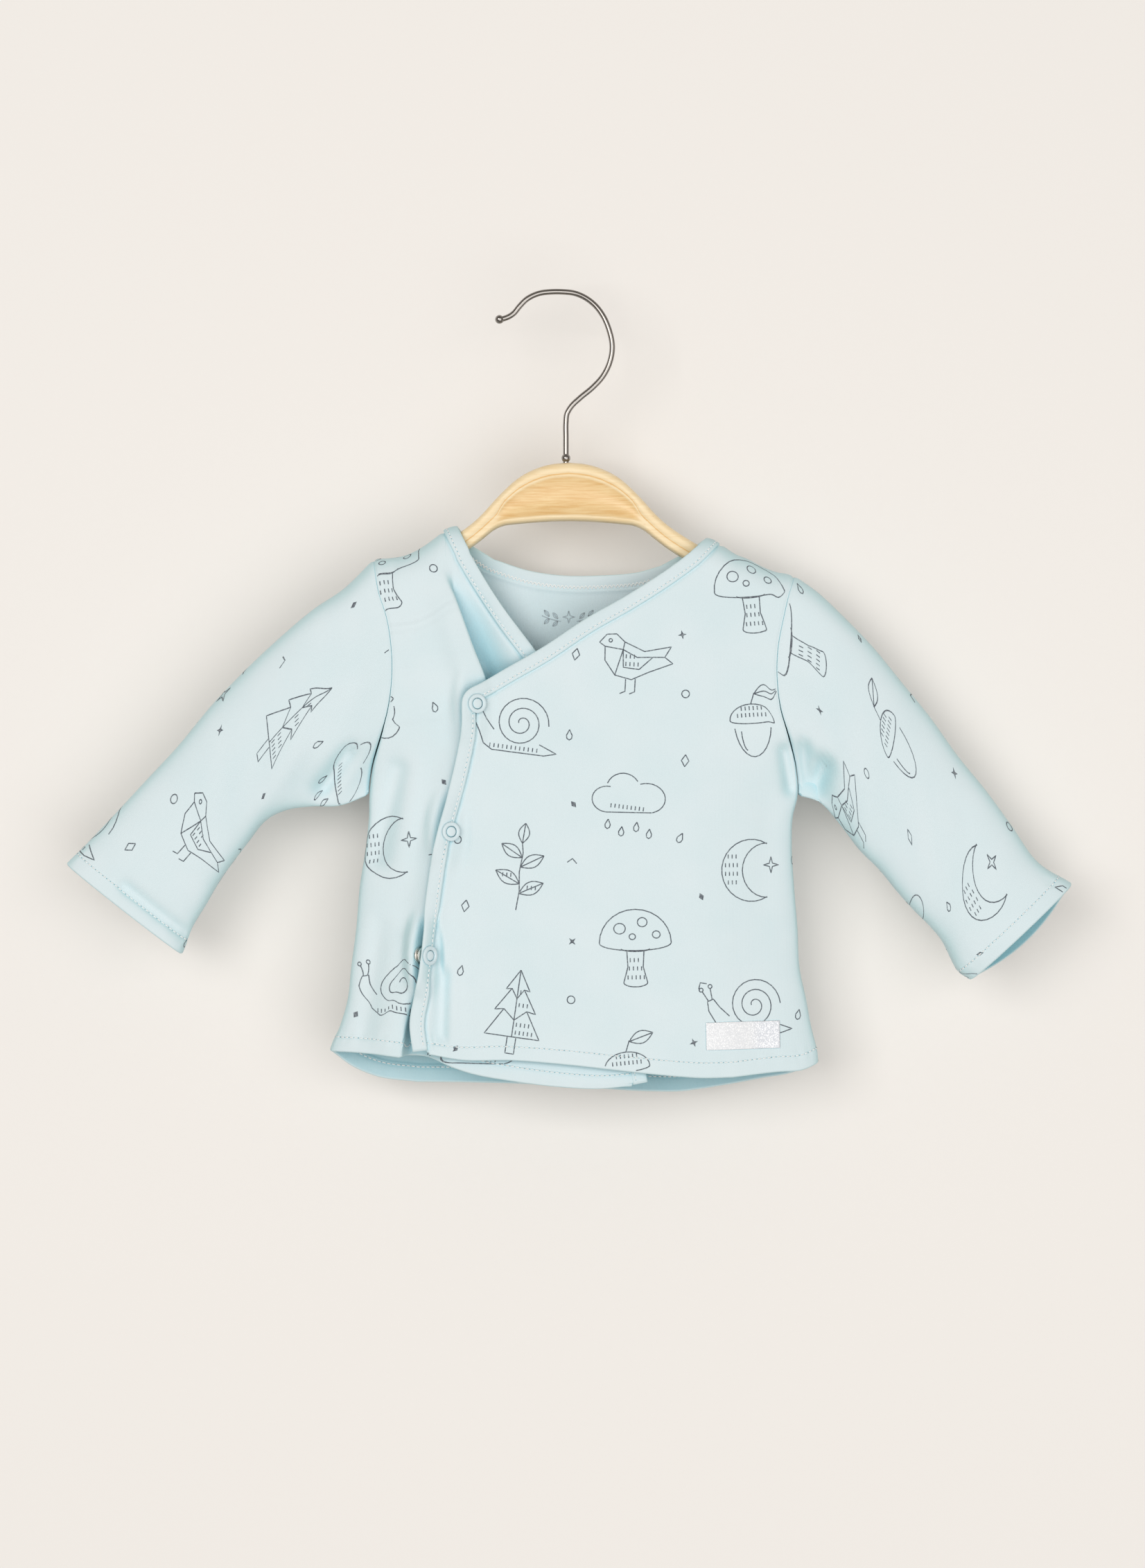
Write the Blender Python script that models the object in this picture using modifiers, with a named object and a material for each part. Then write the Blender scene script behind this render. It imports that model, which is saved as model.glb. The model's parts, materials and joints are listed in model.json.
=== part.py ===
"""Baby wrap top on its wooden hanger, as sewn: back, two fronts, two sleeves, edge binding,
three ring snaps and a woven label, over a hanger with a wire hook.

Millimetres in the tables, metres in the meshes. +Z is up, +X is the viewer's right, the front
faces -Y. The origin is the underside of the hook's wire at its top, where a rod carries it.
"""
import math

import bmesh
import bpy
import numpy as np
from mathutils import Matrix, Vector

MM = 0.001

# Driving sizes, in millimetres
CLOTH = 1.4                 # jersey wall
BINDING_WIDTH = 7.6
BINDING_THICK = 2.4
SEAM_GAP = 0.3              # between neighbouring pieces
SEAM_STAND = 0.6            # panel to binding: the gap, and room for the facets of the curve
SIDE_STAND = 0.3            # each panel's middle stands this far from the side seam plane
WRAP_LIFT = 3.2             # outer front over inner front, middle to middle
WRAP_FROM, WRAP_OVER = 62.0, 46.0   # in x, where the lift starts to end, and over what width
SHOULDER_ROLL = 14.0        # how far below the shoulder line the cloth has turned flat
UNDERARM_ROLL = 40.0
ARMHOLE_STAND = 14.0        # half depth of the armhole
SIDE_POWER = 2.4            # roundness of the body's section at its sides
UNDERARM_Z = -253.0

# The body, one row per level: height, left edge, right edge, front depth, back depth.
# Above the underarm the edges are the armhole seams, below it the side seams.
BODY_COLUMNS = ("z", "left", "right", "front", "back")
BODY = (
    (-405, -118.0, 129.5, 19.5, 17.0),
    (-381, -117.4, 128.2, 19.0, 16.5),
    (-369, -112.5, 125.4, 18.5, 16.0),
    (-355, -108.6, 122.8, 18.0, 15.5),
    (-341, -107.1, 119.8, 17.5, 15.0),
    (-320, -104.4, 118.6, 17.0, 14.8),
    (-299, -102.6, 116.9, 16.5, 14.4),
    (-278, -99.4, 115.7, 15.8, 14.0),
    (-264, -98.0, 116.2, 15.4, 13.8),
    (-253, -97.7, 118.6, 15.1, 13.6),
    (-238, -95.6, 117.3, 14.8, 13.3),
    (-222, -90.7, 112.8, 14.4, 13.0),
    (-210, -87.5, 109.2, 14.2, 12.8),
    (-199, -85.8, 107.5, 14.0, 12.5),
    (-180, -85.6, 107.5, 13.4, 12.0),
    (-163, -88.2, 110.6, 12.8, 11.5),
    (-151, -92.0, 113.5, 12.2, 11.0),
    (-142, -93.8, 116.6, 11.6, 10.6),
    (-134, -95.2, 118.0, 11.0, 10.2),
    (-118, -96.5, 120.0, 10.5, 10.0),
)

# Shoulder line from sleeve to sleeve; across the neck it only says where the cloth has turned flat.
SHOULDER_LINE = (
    (-100, -138.6), (-95.2, -134.6), (-88, -133.6), (-81, -132.6), (-74, -129.8), (-67, -125.4),
    (-61, -120.9), (-57, -118.7), (-52, -117.8), (-40, -112), (-20, -100), (0, -95), (30, -98),
    (50, -112), (64, -121), (70, -123.2), (75, -124.6), (80, -127), (87, -131.4), (94, -134.2),
    (101, -137.8), (108, -140.4), (116.6, -142.4), (122, -146),
)

# Raw edges of the openings, x and z, before the binding is taken off
OUTER_NECK = ((59.0, -134.6), (52.0, -139.6), (32.6, -152.1), (11.2, -164.3), (-10.9, -179.0),
              (-28.7, -189.2), (-41.7, -196.8), (-50.6, -202.2))
OUTER_FRONT = ((-50.6, -202.2), (-51.0, -221.4), (-53.0, -232.0), (-58.8, -256.0), (-63.5, -273.2),
               (-68.3, -301.9), (-71.6, -332.3), (-74.0, -351.0), (-76.6, -367.0), (-75.0, -381.0))
INNER_NECK = ((-46.6, -131.0), (-39.6, -143.0), (-29.4, -158.7), (-13.4, -180.4), (5.0, -206.5))
INNER_FRONT = ((5.0, -206.5), (13.0, -240.0), (23.0, -290.0), (33.0, -345.0), (42.2, -394.0))
BACK_NECK = ((50.0, -136.2), (39.8, -139.2), (18.4, -141.2), (0.5, -141.2), (-17.5, -138.6),
             (-35.4, -132.8))
# Where the binding's middle crosses the shoulder line, and where it lies flat again, in x
RIGHT_CROSSING = {"top": 75.5, "front": 64.5, "back": 62.0}
LEFT_CROSSING = {"top": -56.5, "front": -50.2, "back": -47.5}
ROLL_ANGLES = (80, 65, 50, 35, 20, 8)   # of the strip's stations over the shoulder, 0 is on it
BINDING_STEP = 6.5                      # between its stations elsewhere
CORNER_REACH, CORNER_STEPS = 3.6, 4     # its rounded corner at the top snap
CORNER_LEAN = 0.3

# Hems, x and z, left to right
OUTER_HEM = ((-66.0, -382.0), (-52.9, -384.3), (-25.2, -384.6), (2.8, -386.8), (30.6, -389.9),
             (52.9, -392.2), (70.0, -393.4), (85.0, -393.2), (108.9, -390.8), (120.0, -390.2),
             (128.6, -387.0))
INNER_HEM = ((-117.4, -381.0), (-106.4, -381.2), (-96.4, -381.8), (-82.3, -383.4), (-67.6, -383.8),
             (-56.4, -388.0), (-47.6, -391.0), (-25.2, -395.3), (-2.8, -398.1), (19.4, -399.2),
             (34.0, -397.9))
BACK_HEM = ((-117.4, -381.0), (-106.4, -389.6), (-95.0, -394.6), (-74.0, -397.8), (-46.0, -398.2),
            (-11.0, -399.5), (17.0, -401.3), (45.0, -402.8), (60.0, -402.8), (73.0, -401.0),
            (87.0, -398.5), (101.0, -395.7), (115.0, -393.0), (128.6, -387.0))

# The long tuck of the inner front: height, fold edge, drop behind it, width of the turn,
# crest of the ridge that it makes and the crest's height
TUCK_COLUMNS = ("z", "edge", "drop", "turn", "crest", "rise")
TUCK = (
    (-400, -80.0, 8.0, 5.0, -86.0, 1.5),
    (-383, -79.5, 8.0, 5.0, -85.0, 2.0),
    (-362, -75.5, 8.0, 5.0, -81.0, 3.0),
    (-345, -68.5, 8.0, 6.0, -74.5, 4.0),
    (-325, -61.5, 7.5, 7.0, -70.0, 4.0),
    (-271, -49.5, 7.0, 7.0, -61.5, 3.0),
    (-240, -43.0, 7.0, 7.0, -53.5, 3.0),
    (-207, -37.0, 7.5, 6.0, -46.0, 3.0),
    (-195, -42.0, 7.5, 4.0, -46.0, 2.5),
    (-178, -48.5, 6.0, 4.5, -52.0, 2.0),
    (-161, -53.0, 3.5, 6.0, -57.0, 1.2),
    (-148, -56.0, 1.2, 9.0, -61.0, 0.5),
    (-136, -58.0, 0.0, 12.0, -63.0, 0.0),
    (-118, -58.0, 0.0, 12.0, -63.0, 0.0),
)

TUCK_RETURN = 0.85          # share of the drop that the cloth climbs back behind the tuck
TUCK_RETURN_OVER = 30.0     # and over how much width
RIDGE_SPREAD = 8.0          # half width of the ridges along the tuck and the outer front's edge
RIDGE_STEP = 1.5            # the outer front's ridge lies this far in from its edge
RIDGE_TOP, RIDGE_FADE = -190.0, 15.0

# Largest folds pressed into the cloth: piece, ends in x and z, depth and half width
FOLDS_COLUMNS = ("piece", "x0", "z0", "x1", "z1", "depth", "spread")
FOLDS = (
    ("front", -83.0, -240.0, -93.0, -283.0, 3.5, 6.0),
    ("front", 111.5, -231.0, 114.5, -249.0, 4.0, 4.0),
    ("front", -59.5, -344.0, -60.5, -372.0, 3.0, 5.0),
    ("right_sleeve", -108.0, -231.0, -121.0, -249.0, 6.0, 5.0),
    ("right_sleeve", -220.0, -299.0, -191.0, -322.0, 3.5, 4.0),
    ("left_sleeve", 132.0, -238.0, 126.0, -252.0, 7.0, 5.0),
    ("left_sleeve", 121.5, -228.0, 122.5, -247.0, 3.5, 3.5),
)

# Sleeves, armhole to cuff: top point, bottom point, half depth and how far the back hangs past
SLEEVE_COLUMNS = ("top_x", "top_z", "low_x", "low_z", "half", "past")
RIGHT_SLEEVE = (
    (-95.6, -134.8, -99.0, -252.2, 14.0, 0.0),
    (-110.0, -148.8, -113.0, -257.6, 14.5, 0.0),
    (-126.0, -159.6, -127.0, -258.0, 15.0, 0.0),
    (-143.0, -174.0, -140.0, -260.0, 15.0, 0.0),
    (-160.0, -190.0, -150.5, -265.5, 14.5, 0.0),
    (-177.0, -207.8, -159.0, -276.0, 14.0, 0.0),
    (-194.0, -228.4, -167.0, -286.5, 13.5, 0.0),
    (-210.0, -245.6, -174.0, -296.5, 13.0, 0.0),
    (-225.0, -261.8, -180.0, -307.0, 12.5, 0.5),
    (-238.5, -276.0, -187.5, -319.5, 12.0, 1.0),
    (-249.6, -287.2, -192.4, -332.0, 12.0, 1.5),
)
LEFT_SLEEVE = (
    (117.0, -142.8, 120.4, -252.4, 14.0, 0.0),
    (129.0, -151.4, 131.0, -256.4, 14.5, 0.0),
    (143.0, -164.6, 141.0, -268.0, 15.0, 0.0),
    (157.0, -179.2, 150.0, -280.0, 15.0, 0.0),
    (171.0, -196.4, 160.0, -290.0, 15.0, 0.0),
    (185.0, -213.6, 169.0, -301.0, 14.5, 0.0),
    (199.0, -233.2, 177.5, -310.5, 14.5, 0.5),
    (213.0, -250.4, 185.5, -318.5, 14.5, 1.5),
    (226.0, -268.2, 192.0, -326.5, 14.5, 3.0),
    (239.0, -286.4, 199.0, -340.0, 15.0, 5.0),
    (256.0, -297.4, 205.6, -345.2, 16.0, 7.0),
)
CUFF_OVAL = 0.8             # below 1 the sleeve's section is fuller than an ellipse
ARMHOLE_FADE = 0.33         # share of the sleeve that still follows the armhole
UNDERARM_ROOM = 1.0         # how much further the sleeve stands off at the underarm
FOLD_FADE = 8.0             # folds die out where the cloth is nearer than this to its side edge
SLEEVE_RINGS, SLEEVE_SIDES = 16, 22

# Ring snaps: centre, and how far each is turned to the viewer's right, in degrees
SNAP_COLUMNS = ("name", "x", "z", "turn")
SNAPS = (
    ("top", -43.3, -206.9, 24.0),
    ("middle", -56.4, -270.9, 24.0),
    ("bottom", -67.4, -332.8, 46.0),
)
SNAP_RADIUS = 5.0
SNAP_FLAT = 8.0             # cloth lies flat this far round a snap's centre
SNAP_BLEND = 17.0           # and is back on its own shape here
SNAP_STACK = 5.8            # outer front to inner front at a snap, middle to middle
SNAP_LIFT = 1.2             # how far a snap holds the outer front up
SNAP_ROOM = 0.35            # between a snap's piece and the cloth

# Woven label near the hem, corners in x and z
LABEL_WIDTH, LABEL_HEIGHT, LABEL_THICK = 36.8, 13.4, 0.5
LABEL_AT = (90.2, -373.0)
LABEL_TILT = 1.0            # degrees, right end up

# Hanger, middle to tip: distance out, top edge, lower edge, half thickness
HANGER_COLUMNS = ("out", "top", "low", "half")
HANGER_X = 3.0
HANGER = (
    (0.0, -84.9, -114.3, 5.4),
    (9.0, -85.8, -114.5, 5.4),
    (17.0, -88.2, -115.0, 5.4),
    (27.0, -93.9, -115.9, 5.4),
    (33.0, -99.4, -116.7, 5.3),
    (38.0, -104.6, -119.0, 5.3),
    (43.0, -110.2, -123.0, 5.2),
    (49.0, -115.8, -127.6, 5.1),
    (56.0, -120.8, -132.2, 5.0),
    (64.0, -125.8, -136.8, 4.9),
    (75.0, -132.2, -142.8, 4.8),
    (90.0, -141.0, -151.4, 4.6),
    (105.0, -149.8, -160.0, 4.4),
    (119.0, -158.0, -168.0, 4.2),
    (127.0, -163.0, -172.2, 3.9),
    (131.0, -166.4, -173.0, 2.9),
    (132.6, -169.0, -171.4, 1.4),
)
SLIM_BELOW = 13.0           # where the wood is less tall than this, the sizes below shrink with it
TOP_ROUND, FOOT_ROUND = 3.4, 2.0        # rounding of its upper and lower edges
BEVEL_IN, BEVEL_DOWN = 0.8, 0.22        # the rounding's middle point, in shares
TOP_FLAT = 0.35             # half width left between the roundings, as a share of half thickness
WEB_REACH, WEB_END = 35.0, 5.0          # half length of the thinner middle field, and its ends
WEB_RECESS, WEB_SLOPE = 1.1, 0.8
WEB_TOP, WEB_FOOT = 5.5, 2.6            # frame left above and below the field

# Hook: the wire's centre line from its ball tip to the collar, x, z and radius
WIRE = 1.5
HOOK_COLUMNS = ("x", "z", "radius")
HOOK = (
    (-33.9, -12.4, 0.6), (-33.4, -12.3, 1.7), (-32.0, -12.3, 2.3), (-30.4, -12.1, 1.9),
    (-29.4, -11.9, WIRE), (-26.6, -10.7, WIRE), (-24.8, -9.4, WIRE), (-21.9, -5.9, WIRE),
    (-18.3, -2.3, WIRE), (-12.0, 0.7, WIRE), (-6.0, 1.5, WIRE), (0.0, 1.5, WIRE),
    (5.9, 0.8, WIRE), (11.2, -1.4, WIRE), (16.2, -5.2, WIRE), (20.2, -10.4, WIRE),
    (23.4, -17.8, WIRE), (25.0, -26.7, WIRE), (23.7, -34.2, WIRE), (20.2, -41.2, WIRE),
    (14.8, -46.9, WIRE), (8.6, -51.7, WIRE), (4.0, -56.4, WIRE), (1.9, -61.6, WIRE),
    (1.6, -66.0, WIRE), (1.6, -80.6, WIRE), (1.6, -81.3, 2.0), (1.6, -82.5, 2.2),
    (1.6, -83.7, 1.9), (1.6, -84.3, WIRE), (1.6, -96.0, WIRE),
)
SOCKET_RADIUS, SOCKET_FLOOR, DRILL_LENGTH = 1.9, -96.8, 30.0

COLLECTION = "wrap_top_on_hanger"
PALE_BLUE = (0.66, 0.80, 0.82, 1.0)
FINISHES = {
    "jersey": (PALE_BLUE, 0.85, 0.0),
    "binding": ((0.70, 0.83, 0.85, 1.0), 0.82, 0.0),
    "snap_enamel": ((0.67, 0.80, 0.84, 1.0), 0.35, 0.0),
    "snap_metal": ((0.80, 0.78, 0.74, 1.0), 0.25, 1.0),
    "woven_label": ((0.86, 0.88, 0.90, 1.0), 0.4, 0.2),
    "beech": ((0.86, 0.68, 0.42, 1.0), 0.45, 0.0),
    "chrome": ((0.75, 0.75, 0.76, 1.0), 0.12, 1.0),
}


# ---- reading the tables ----

def along(keys, values, at):
    """Smooth curve through a table's rows, read at one or many places."""
    keys = np.asarray(keys, float)
    values = np.asarray(values, float)
    at = np.clip(np.asarray(at, float), keys[0], keys[-1])
    slope = np.gradient(values, keys, axis=0)
    row = np.clip(np.searchsorted(keys, at) - 1, 0, len(keys) - 2)
    span = keys[row + 1] - keys[row]
    t = (at - keys[row]) / span
    if values.ndim > 1:
        span, t = span[..., None], t[..., None]
    return ((2 * t**3 - 3 * t**2 + 1) * values[row] + (t**3 - 2 * t**2 + t) * span * slope[row]
            + (3 * t**2 - 2 * t**3) * values[row + 1] + (t**3 - t**2) * span * slope[row + 1])


def column(table, columns, name, at):
    """One named column of a table whose first column is the key."""
    data = np.asarray(table, float)
    return along(data[:, 0], data[:, columns.index(name)], at)


def line_through(points):
    """A curve through points, read from 0 at the first to 1 at the last by length."""
    points = np.asarray(points, float)
    steps = np.linalg.norm(np.diff(points, axis=0), axis=1)
    keys = np.concatenate(([0.0], np.cumsum(steps))) / steps.sum()
    return lambda at: along(keys, points, at)


def joined(first, second, share):
    """Two curves end to end: the first takes the given share of 0 to 1."""
    def read(at):
        at = np.asarray(at, float)
        near = first(np.clip(at / share, 0, 1))
        far = second(np.clip((at - share) / (1 - share), 0, 1))
        return np.where((at < share)[..., None], near, far)
    return read


def inset(points, distance):
    """A row of points moved to its left-hand side, which is the cloth's side of an edge."""
    points = np.asarray(points, float)
    run = np.gradient(points, axis=0)
    run /= np.linalg.norm(run, axis=1)[:, None]
    return points + distance * np.stack((-run[:, 1], run[:, 0]), axis=1)


def ease(t):
    """0 to 1 with a soft start and end."""
    t = np.clip(t, 0.0, 1.0)
    return t * t * (3 - 2 * t)


# ---- the garment's form ----

def shoulder_z(x):
    return column(SHOULDER_LINE, ("x", "z"), "z", x)


def round_over(drop, reach):
    """Quarter round: 0 at an edge, 1 once the cloth has turned flat."""
    t = np.clip(np.asarray(drop, float) / reach, 0.0, 1.0)
    return np.sqrt(1 - (1 - t)**2)


def body_depth(x, z, side):
    """Half depth of the body at x, z, on the 'front' or 'back' side, before any fold."""
    left = column(BODY_UP, BODY_COLUMNS, "left", z)
    right = column(BODY_UP, BODY_COLUMNS, "right", z)
    belly = column(BODY_UP, BODY_COLUMNS, side, z)
    across = np.clip(np.abs(2 * (x - left) / (right - left) - 1), 0.0, 1.0)
    full = (1 - across**SIDE_POWER)**(1 / SIDE_POWER)
    stand = ARMHOLE_STAND * round_over(z - UNDERARM_Z, UNDERARM_ROLL)
    stand = np.minimum(stand, belly)
    return stand + (belly - stand) * full


def pressed(piece, x, z):
    """How deep the folds listed for a piece press its cloth in at x, z."""
    total = np.zeros(np.broadcast(x, z).shape)
    for row in FOLDS:
        fold = dict(zip(FOLDS_COLUMNS, row))
        if fold["piece"] != piece:
            continue
        run_x, run_z = fold["x1"] - fold["x0"], fold["z1"] - fold["z0"]
        length = math.hypot(run_x, run_z)
        t = np.clip(((x - fold["x0"]) * run_x + (z - fold["z0"]) * run_z) / length**2, 0, 1)
        away = np.hypot(x - fold["x0"] - t * run_x, z - fold["z0"] - t * run_z)
        total = total + fold["depth"] * np.exp(-(away / fold["spread"])**2)
    return total


def tuck(x, z):
    """The inner front's tuck: how far it drops behind its fold edge, less the ridge before it."""
    edge, drop, turn, crest, rise = (column(TUCK_UP, TUCK_COLUMNS, name, z)
                                     for name in TUCK_COLUMNS[1:])
    back_up = TUCK_RETURN * ease((x - edge - turn / 2) / TUCK_RETURN_OVER)
    behind = drop * ease((x - edge) / turn + 0.5) * (1 - back_up)
    return behind - rise * np.exp(-((x - crest) / RIDGE_SPREAD)**2)


def outer_ridge(x, z):
    """The outer front's edge stands up in a ridge that follows the tuck below it."""
    edge = along(*EDGE_BY_HEIGHT, z)
    rise = column(TUCK_UP, TUCK_COLUMNS, "rise", z) * ease((RIDGE_TOP - z) / RIDGE_FADE)
    return rise * np.exp(-((x - edge - RIDGE_STEP) / RIDGE_SPREAD)**2)


def plain_height(panel, x, z):
    """Distance of a panel's middle from the plane of the side seams, before the snaps."""
    side = "back" if panel == "back" else "front"
    depth = body_depth(x, z, side)
    if panel != "back":
        depth = depth - pressed("front", x, z) * round_over(depth, FOLD_FADE)
    if panel == "inner":
        depth = depth - tuck(x, z)
    if panel == "outer":
        depth = depth + WRAP_LIFT * (1 - ease((x - WRAP_FROM) / WRAP_OVER)) + outer_ridge(x, z)
    return SIDE_STAND + depth * round_over(shoulder_z(x) - z, SHOULDER_ROLL)


def height(panel, x, z):
    """As plain_height, but flat and turned round each snap, where it clamps the cloth."""
    x, z = np.asarray(x, float), np.asarray(z, float)
    result = plain_height(panel, x, z)
    if panel == "back":
        return result
    for row in SNAPS:
        snap = dict(zip(SNAP_COLUMNS, row))
        turn = math.radians(snap["turn"])
        below = SNAP_STACK if panel == "inner" else 0.0
        centre_x = snap["x"] - below * math.sin(turn)
        middle = snap_height(snap) - below * math.cos(turn)
        away = np.hypot((x - centre_x) / math.cos(turn), z - snap["z"])
        hold = 1 - ease((away - SNAP_FLAT) / (SNAP_BLEND - SNAP_FLAT))
        flat = middle - math.tan(turn) * (x - centre_x)
        result = result + (flat - result) * hold
    return result


def snap_height(snap):
    """Height of the outer front's middle at a snap."""
    return float(plain_height("outer", snap["x"], snap["z"])) + SNAP_LIFT


def on_panel(panel, x, z):
    """Point of a panel's middle surface, in millimetres."""
    sign = 1.0 if panel == "back" else -1.0
    return np.stack(np.broadcast_arrays(x, sign * height(panel, x, z), z), axis=-1)


def outward(panel, x, z):
    """Unit normals of a panel's middle surface."""
    step = 0.15
    sign = 1.0 if panel == "back" else -1.0
    slope_x = (height(panel, x + step, z) - height(panel, x - step, z)) / (2 * step)
    slope_z = (height(panel, x, z + step) - height(panel, x, z - step)) / (2 * step)
    normal = np.stack(np.broadcast_arrays(-slope_x, sign, -slope_z), axis=-1)
    return normal / np.linalg.norm(normal, axis=-1)[..., None]


BODY_UP = np.asarray(BODY, float)
TUCK_UP = np.asarray(TUCK, float)
EDGE_BY_HEIGHT = (np.array([-400.0] + [z for x, z in OUTER_FRONT[::-1]]),
                  np.array([-74.0] + [x for x, z in OUTER_FRONT[::-1]]))


def armhole(side, top, low):
    """The armhole seam from the shoulder to the underarm, as x and z."""
    def read(at):
        z = top + np.asarray(at, float) * (low - top)
        return np.stack((column(BODY_UP, BODY_COLUMNS, side, z), z), axis=-1)
    return read


def body_side(side, top, low):
    """Armhole, then side seam, down to the hem's corner."""
    return joined(armhole(side, top, UNDERARM_Z), armhole(side, UNDERARM_Z, low),
                  ARMHOLE_SHARE)


def shoulder(x_from, x_to):
    """The shoulder seam between two x, as x and z."""
    def read(at):
        x = x_from + np.asarray(at, float) * (x_to - x_from)
        return np.stack((x, shoulder_z(x)), axis=-1)
    return read


# ---- making meshes ----

def finish_object(name, mesh, finish):
    """Link a mesh as a named object with its own material."""
    colour, roughness, metallic = FINISHES[finish]
    material = bpy.data.materials.new(name + "_finish")
    material.use_nodes = True
    shader = material.node_tree.nodes["Principled BSDF"]
    shader.inputs["Base Color"].default_value = colour
    shader.inputs["Roughness"].default_value = roughness
    shader.inputs["Metallic"].default_value = metallic
    mesh.materials.append(material)
    mesh.shade_smooth()
    mesh.set_sharp_from_angle(angle=math.radians(40))
    obj = bpy.data.objects.new(name, mesh)
    bpy.data.collections[COLLECTION].objects.link(obj)
    return obj


def grid_mesh(name, points, closed=False):
    """A lofted sheet from rows of points; closed joins each row's end to its start."""
    rows, across = points.shape[:2]
    mesh = bpy.data.meshes.new(name)
    work = bmesh.new()
    verts = [[work.verts.new(point) for point in row] for row in points * MM]
    for i in range(rows - 1):
        for j in range(across if closed else across - 1):
            k = (j + 1) % across
            work.faces.new((verts[i][j], verts[i + 1][j], verts[i + 1][k], verts[i][k]))
    work.to_mesh(mesh)
    work.free()
    return mesh


def wall(obj, thickness):
    """Give a sheet its thickness, half to each side."""
    solid = obj.modifiers.new("wall", "SOLIDIFY")
    solid.thickness = thickness * MM
    solid.offset = 0.0
    solid.use_rim = True


def loft_mesh(name, sections):
    """A closed solid through rings of points, capped at both ends."""
    mesh = bpy.data.meshes.new(name)
    work = bmesh.new()
    rings = [[work.verts.new(point) for point in ring] for ring in np.asarray(sections) * MM]
    count = len(rings[0])
    for a, b in zip(rings, rings[1:]):
        for j in range(count):
            k = (j + 1) % count
            work.faces.new((a[j], a[k], b[k], b[j]))
    work.faces.new(rings[0][::-1])
    work.faces.new(rings[-1])
    bmesh.ops.recalc_face_normals(work, faces=work.faces[:])
    work.to_mesh(mesh)
    work.free()
    return mesh


# ---- the binding: one strip from the outer hem, round the neck, to the inner hem ----

def corner(before, at, after):
    """A rounded corner between two straight runs of points."""
    before, at, after = (np.asarray(p, float) for p in (before, at, after))
    start = at + (before - at) / np.linalg.norm(before - at) * CORNER_REACH
    end = at + (after - at) / np.linalg.norm(after - at) * CORNER_REACH
    t = np.linspace(0, 1, CORNER_STEPS + 1)[:, None]
    return (1 - t)**2 * start + 2 * t * (1 - t) * at + t**2 * end


def spaced(points, distance):
    """A smooth curve through points, cut to stations about a distance apart."""
    points = np.asarray(points, float)
    length = np.linalg.norm(np.diff(points, axis=0), axis=1).sum()
    return line_through(points)(np.linspace(0, 1, max(2, round(length / distance) + 1)))


def roll_stations(panel, crossing, angles):
    """Stations where the strip climbs over the shoulder line: 90 is flat, 0 is on the line."""
    stations = []
    flat_x = crossing["back" if panel == "back" else "front"]
    sign = 1.0 if panel == "back" else -1.0
    for angle in angles:
        rise, lean = math.cos(math.radians(angle)), math.sin(math.radians(angle))
        x = crossing["top"] + (flat_x - crossing["top"]) * (1 - rise)
        z = float(shoulder_z(x)) - SHOULDER_ROLL * (1 - rise)
        depth = float(height(panel, x, z))
        slope = float(shoulder_z(x + 1) - shoulder_z(x - 1)) / 2
        full = max(float(body_depth(x, z, "back" if panel == "back" else "front")), 1.0)
        normal = np.array((-slope * rise / SHOULDER_ROLL, sign * lean / full,
                           rise / SHOULDER_ROLL))
        y = sign * depth if angle else 0.0
        stations.append(((x, y, z), normal / np.linalg.norm(normal)))
    return stations


def flat_stations(panel, points):
    points = np.asarray(points, float)
    centres = on_panel(panel, points[:, 0], points[:, 1])
    normals = outward(panel, points[:, 0], points[:, 1])
    return list(zip(centres, normals))


def binding_stations(step):
    """Centre and normal of the strip at each station, and where its stretches begin."""
    half = BINDING_WIDTH / 2
    neck = inset(OUTER_NECK, half)[::-1][1:]
    front = inset(OUTER_FRONT, half)[1:]
    meet = (float(front[0][0]) + CORNER_LEAN, float(neck[0][1]) - CORNER_REACH)
    outer_turn = corner(front[0], meet, neck[0])
    inner_neck = inset(INNER_NECK, -half)
    inner_front = inset(INNER_FRONT, -half)[1:]
    down = spaced(np.vstack((front[::-1], outer_turn[:1])), step)[:-1]
    across = spaced(np.vstack((outer_turn[-1:], neck)), step)[1:]
    stretches = [
        flat_stations("outer", down),
        flat_stations("outer", outer_turn),
        flat_stations("outer", across),
        roll_stations("outer", RIGHT_CROSSING, ROLL_ANGLES),
        roll_stations("outer", RIGHT_CROSSING, (0,)),
        roll_stations("back", RIGHT_CROSSING, ROLL_ANGLES[::-1]),
        flat_stations("back", spaced(inset(BACK_NECK, half), step)),
        roll_stations("back", LEFT_CROSSING, ROLL_ANGLES),
        roll_stations("back", LEFT_CROSSING, (0,)),
        roll_stations("inner", LEFT_CROSSING, ROLL_ANGLES[::-1]),
        flat_stations("inner", spaced(inner_neck, step)[:-1]),
        flat_stations("inner", spaced(np.vstack((inner_neck[-1:], inner_front)), step)),
    ]
    begins = np.cumsum([0] + [len(stretch) for stretch in stretches])
    stations = [station for stretch in stretches for station in stretch]
    centres = np.array([centre for centre, normal in stations])
    normals = np.array([normal for centre, normal in stations])
    return centres, normals, begins


def strip_frames(centres, normals):
    """Unit vectors across the strip, towards the cloth, and square to the strip."""
    run = np.gradient(centres, axis=0)
    run /= np.linalg.norm(run, axis=1)[:, None]
    across = np.cross(run, normals)
    across /= np.linalg.norm(across, axis=1)[:, None]
    return across, np.cross(across, run)


BINDING_SECTION = ((-1.0, 0.0), (-0.86, 0.75), (0.0, 1.0), (0.9, 0.85),
                   (1.0, 0.0), (0.9, -0.85), (0.0, -1.0), (-0.86, -0.75))


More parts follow.
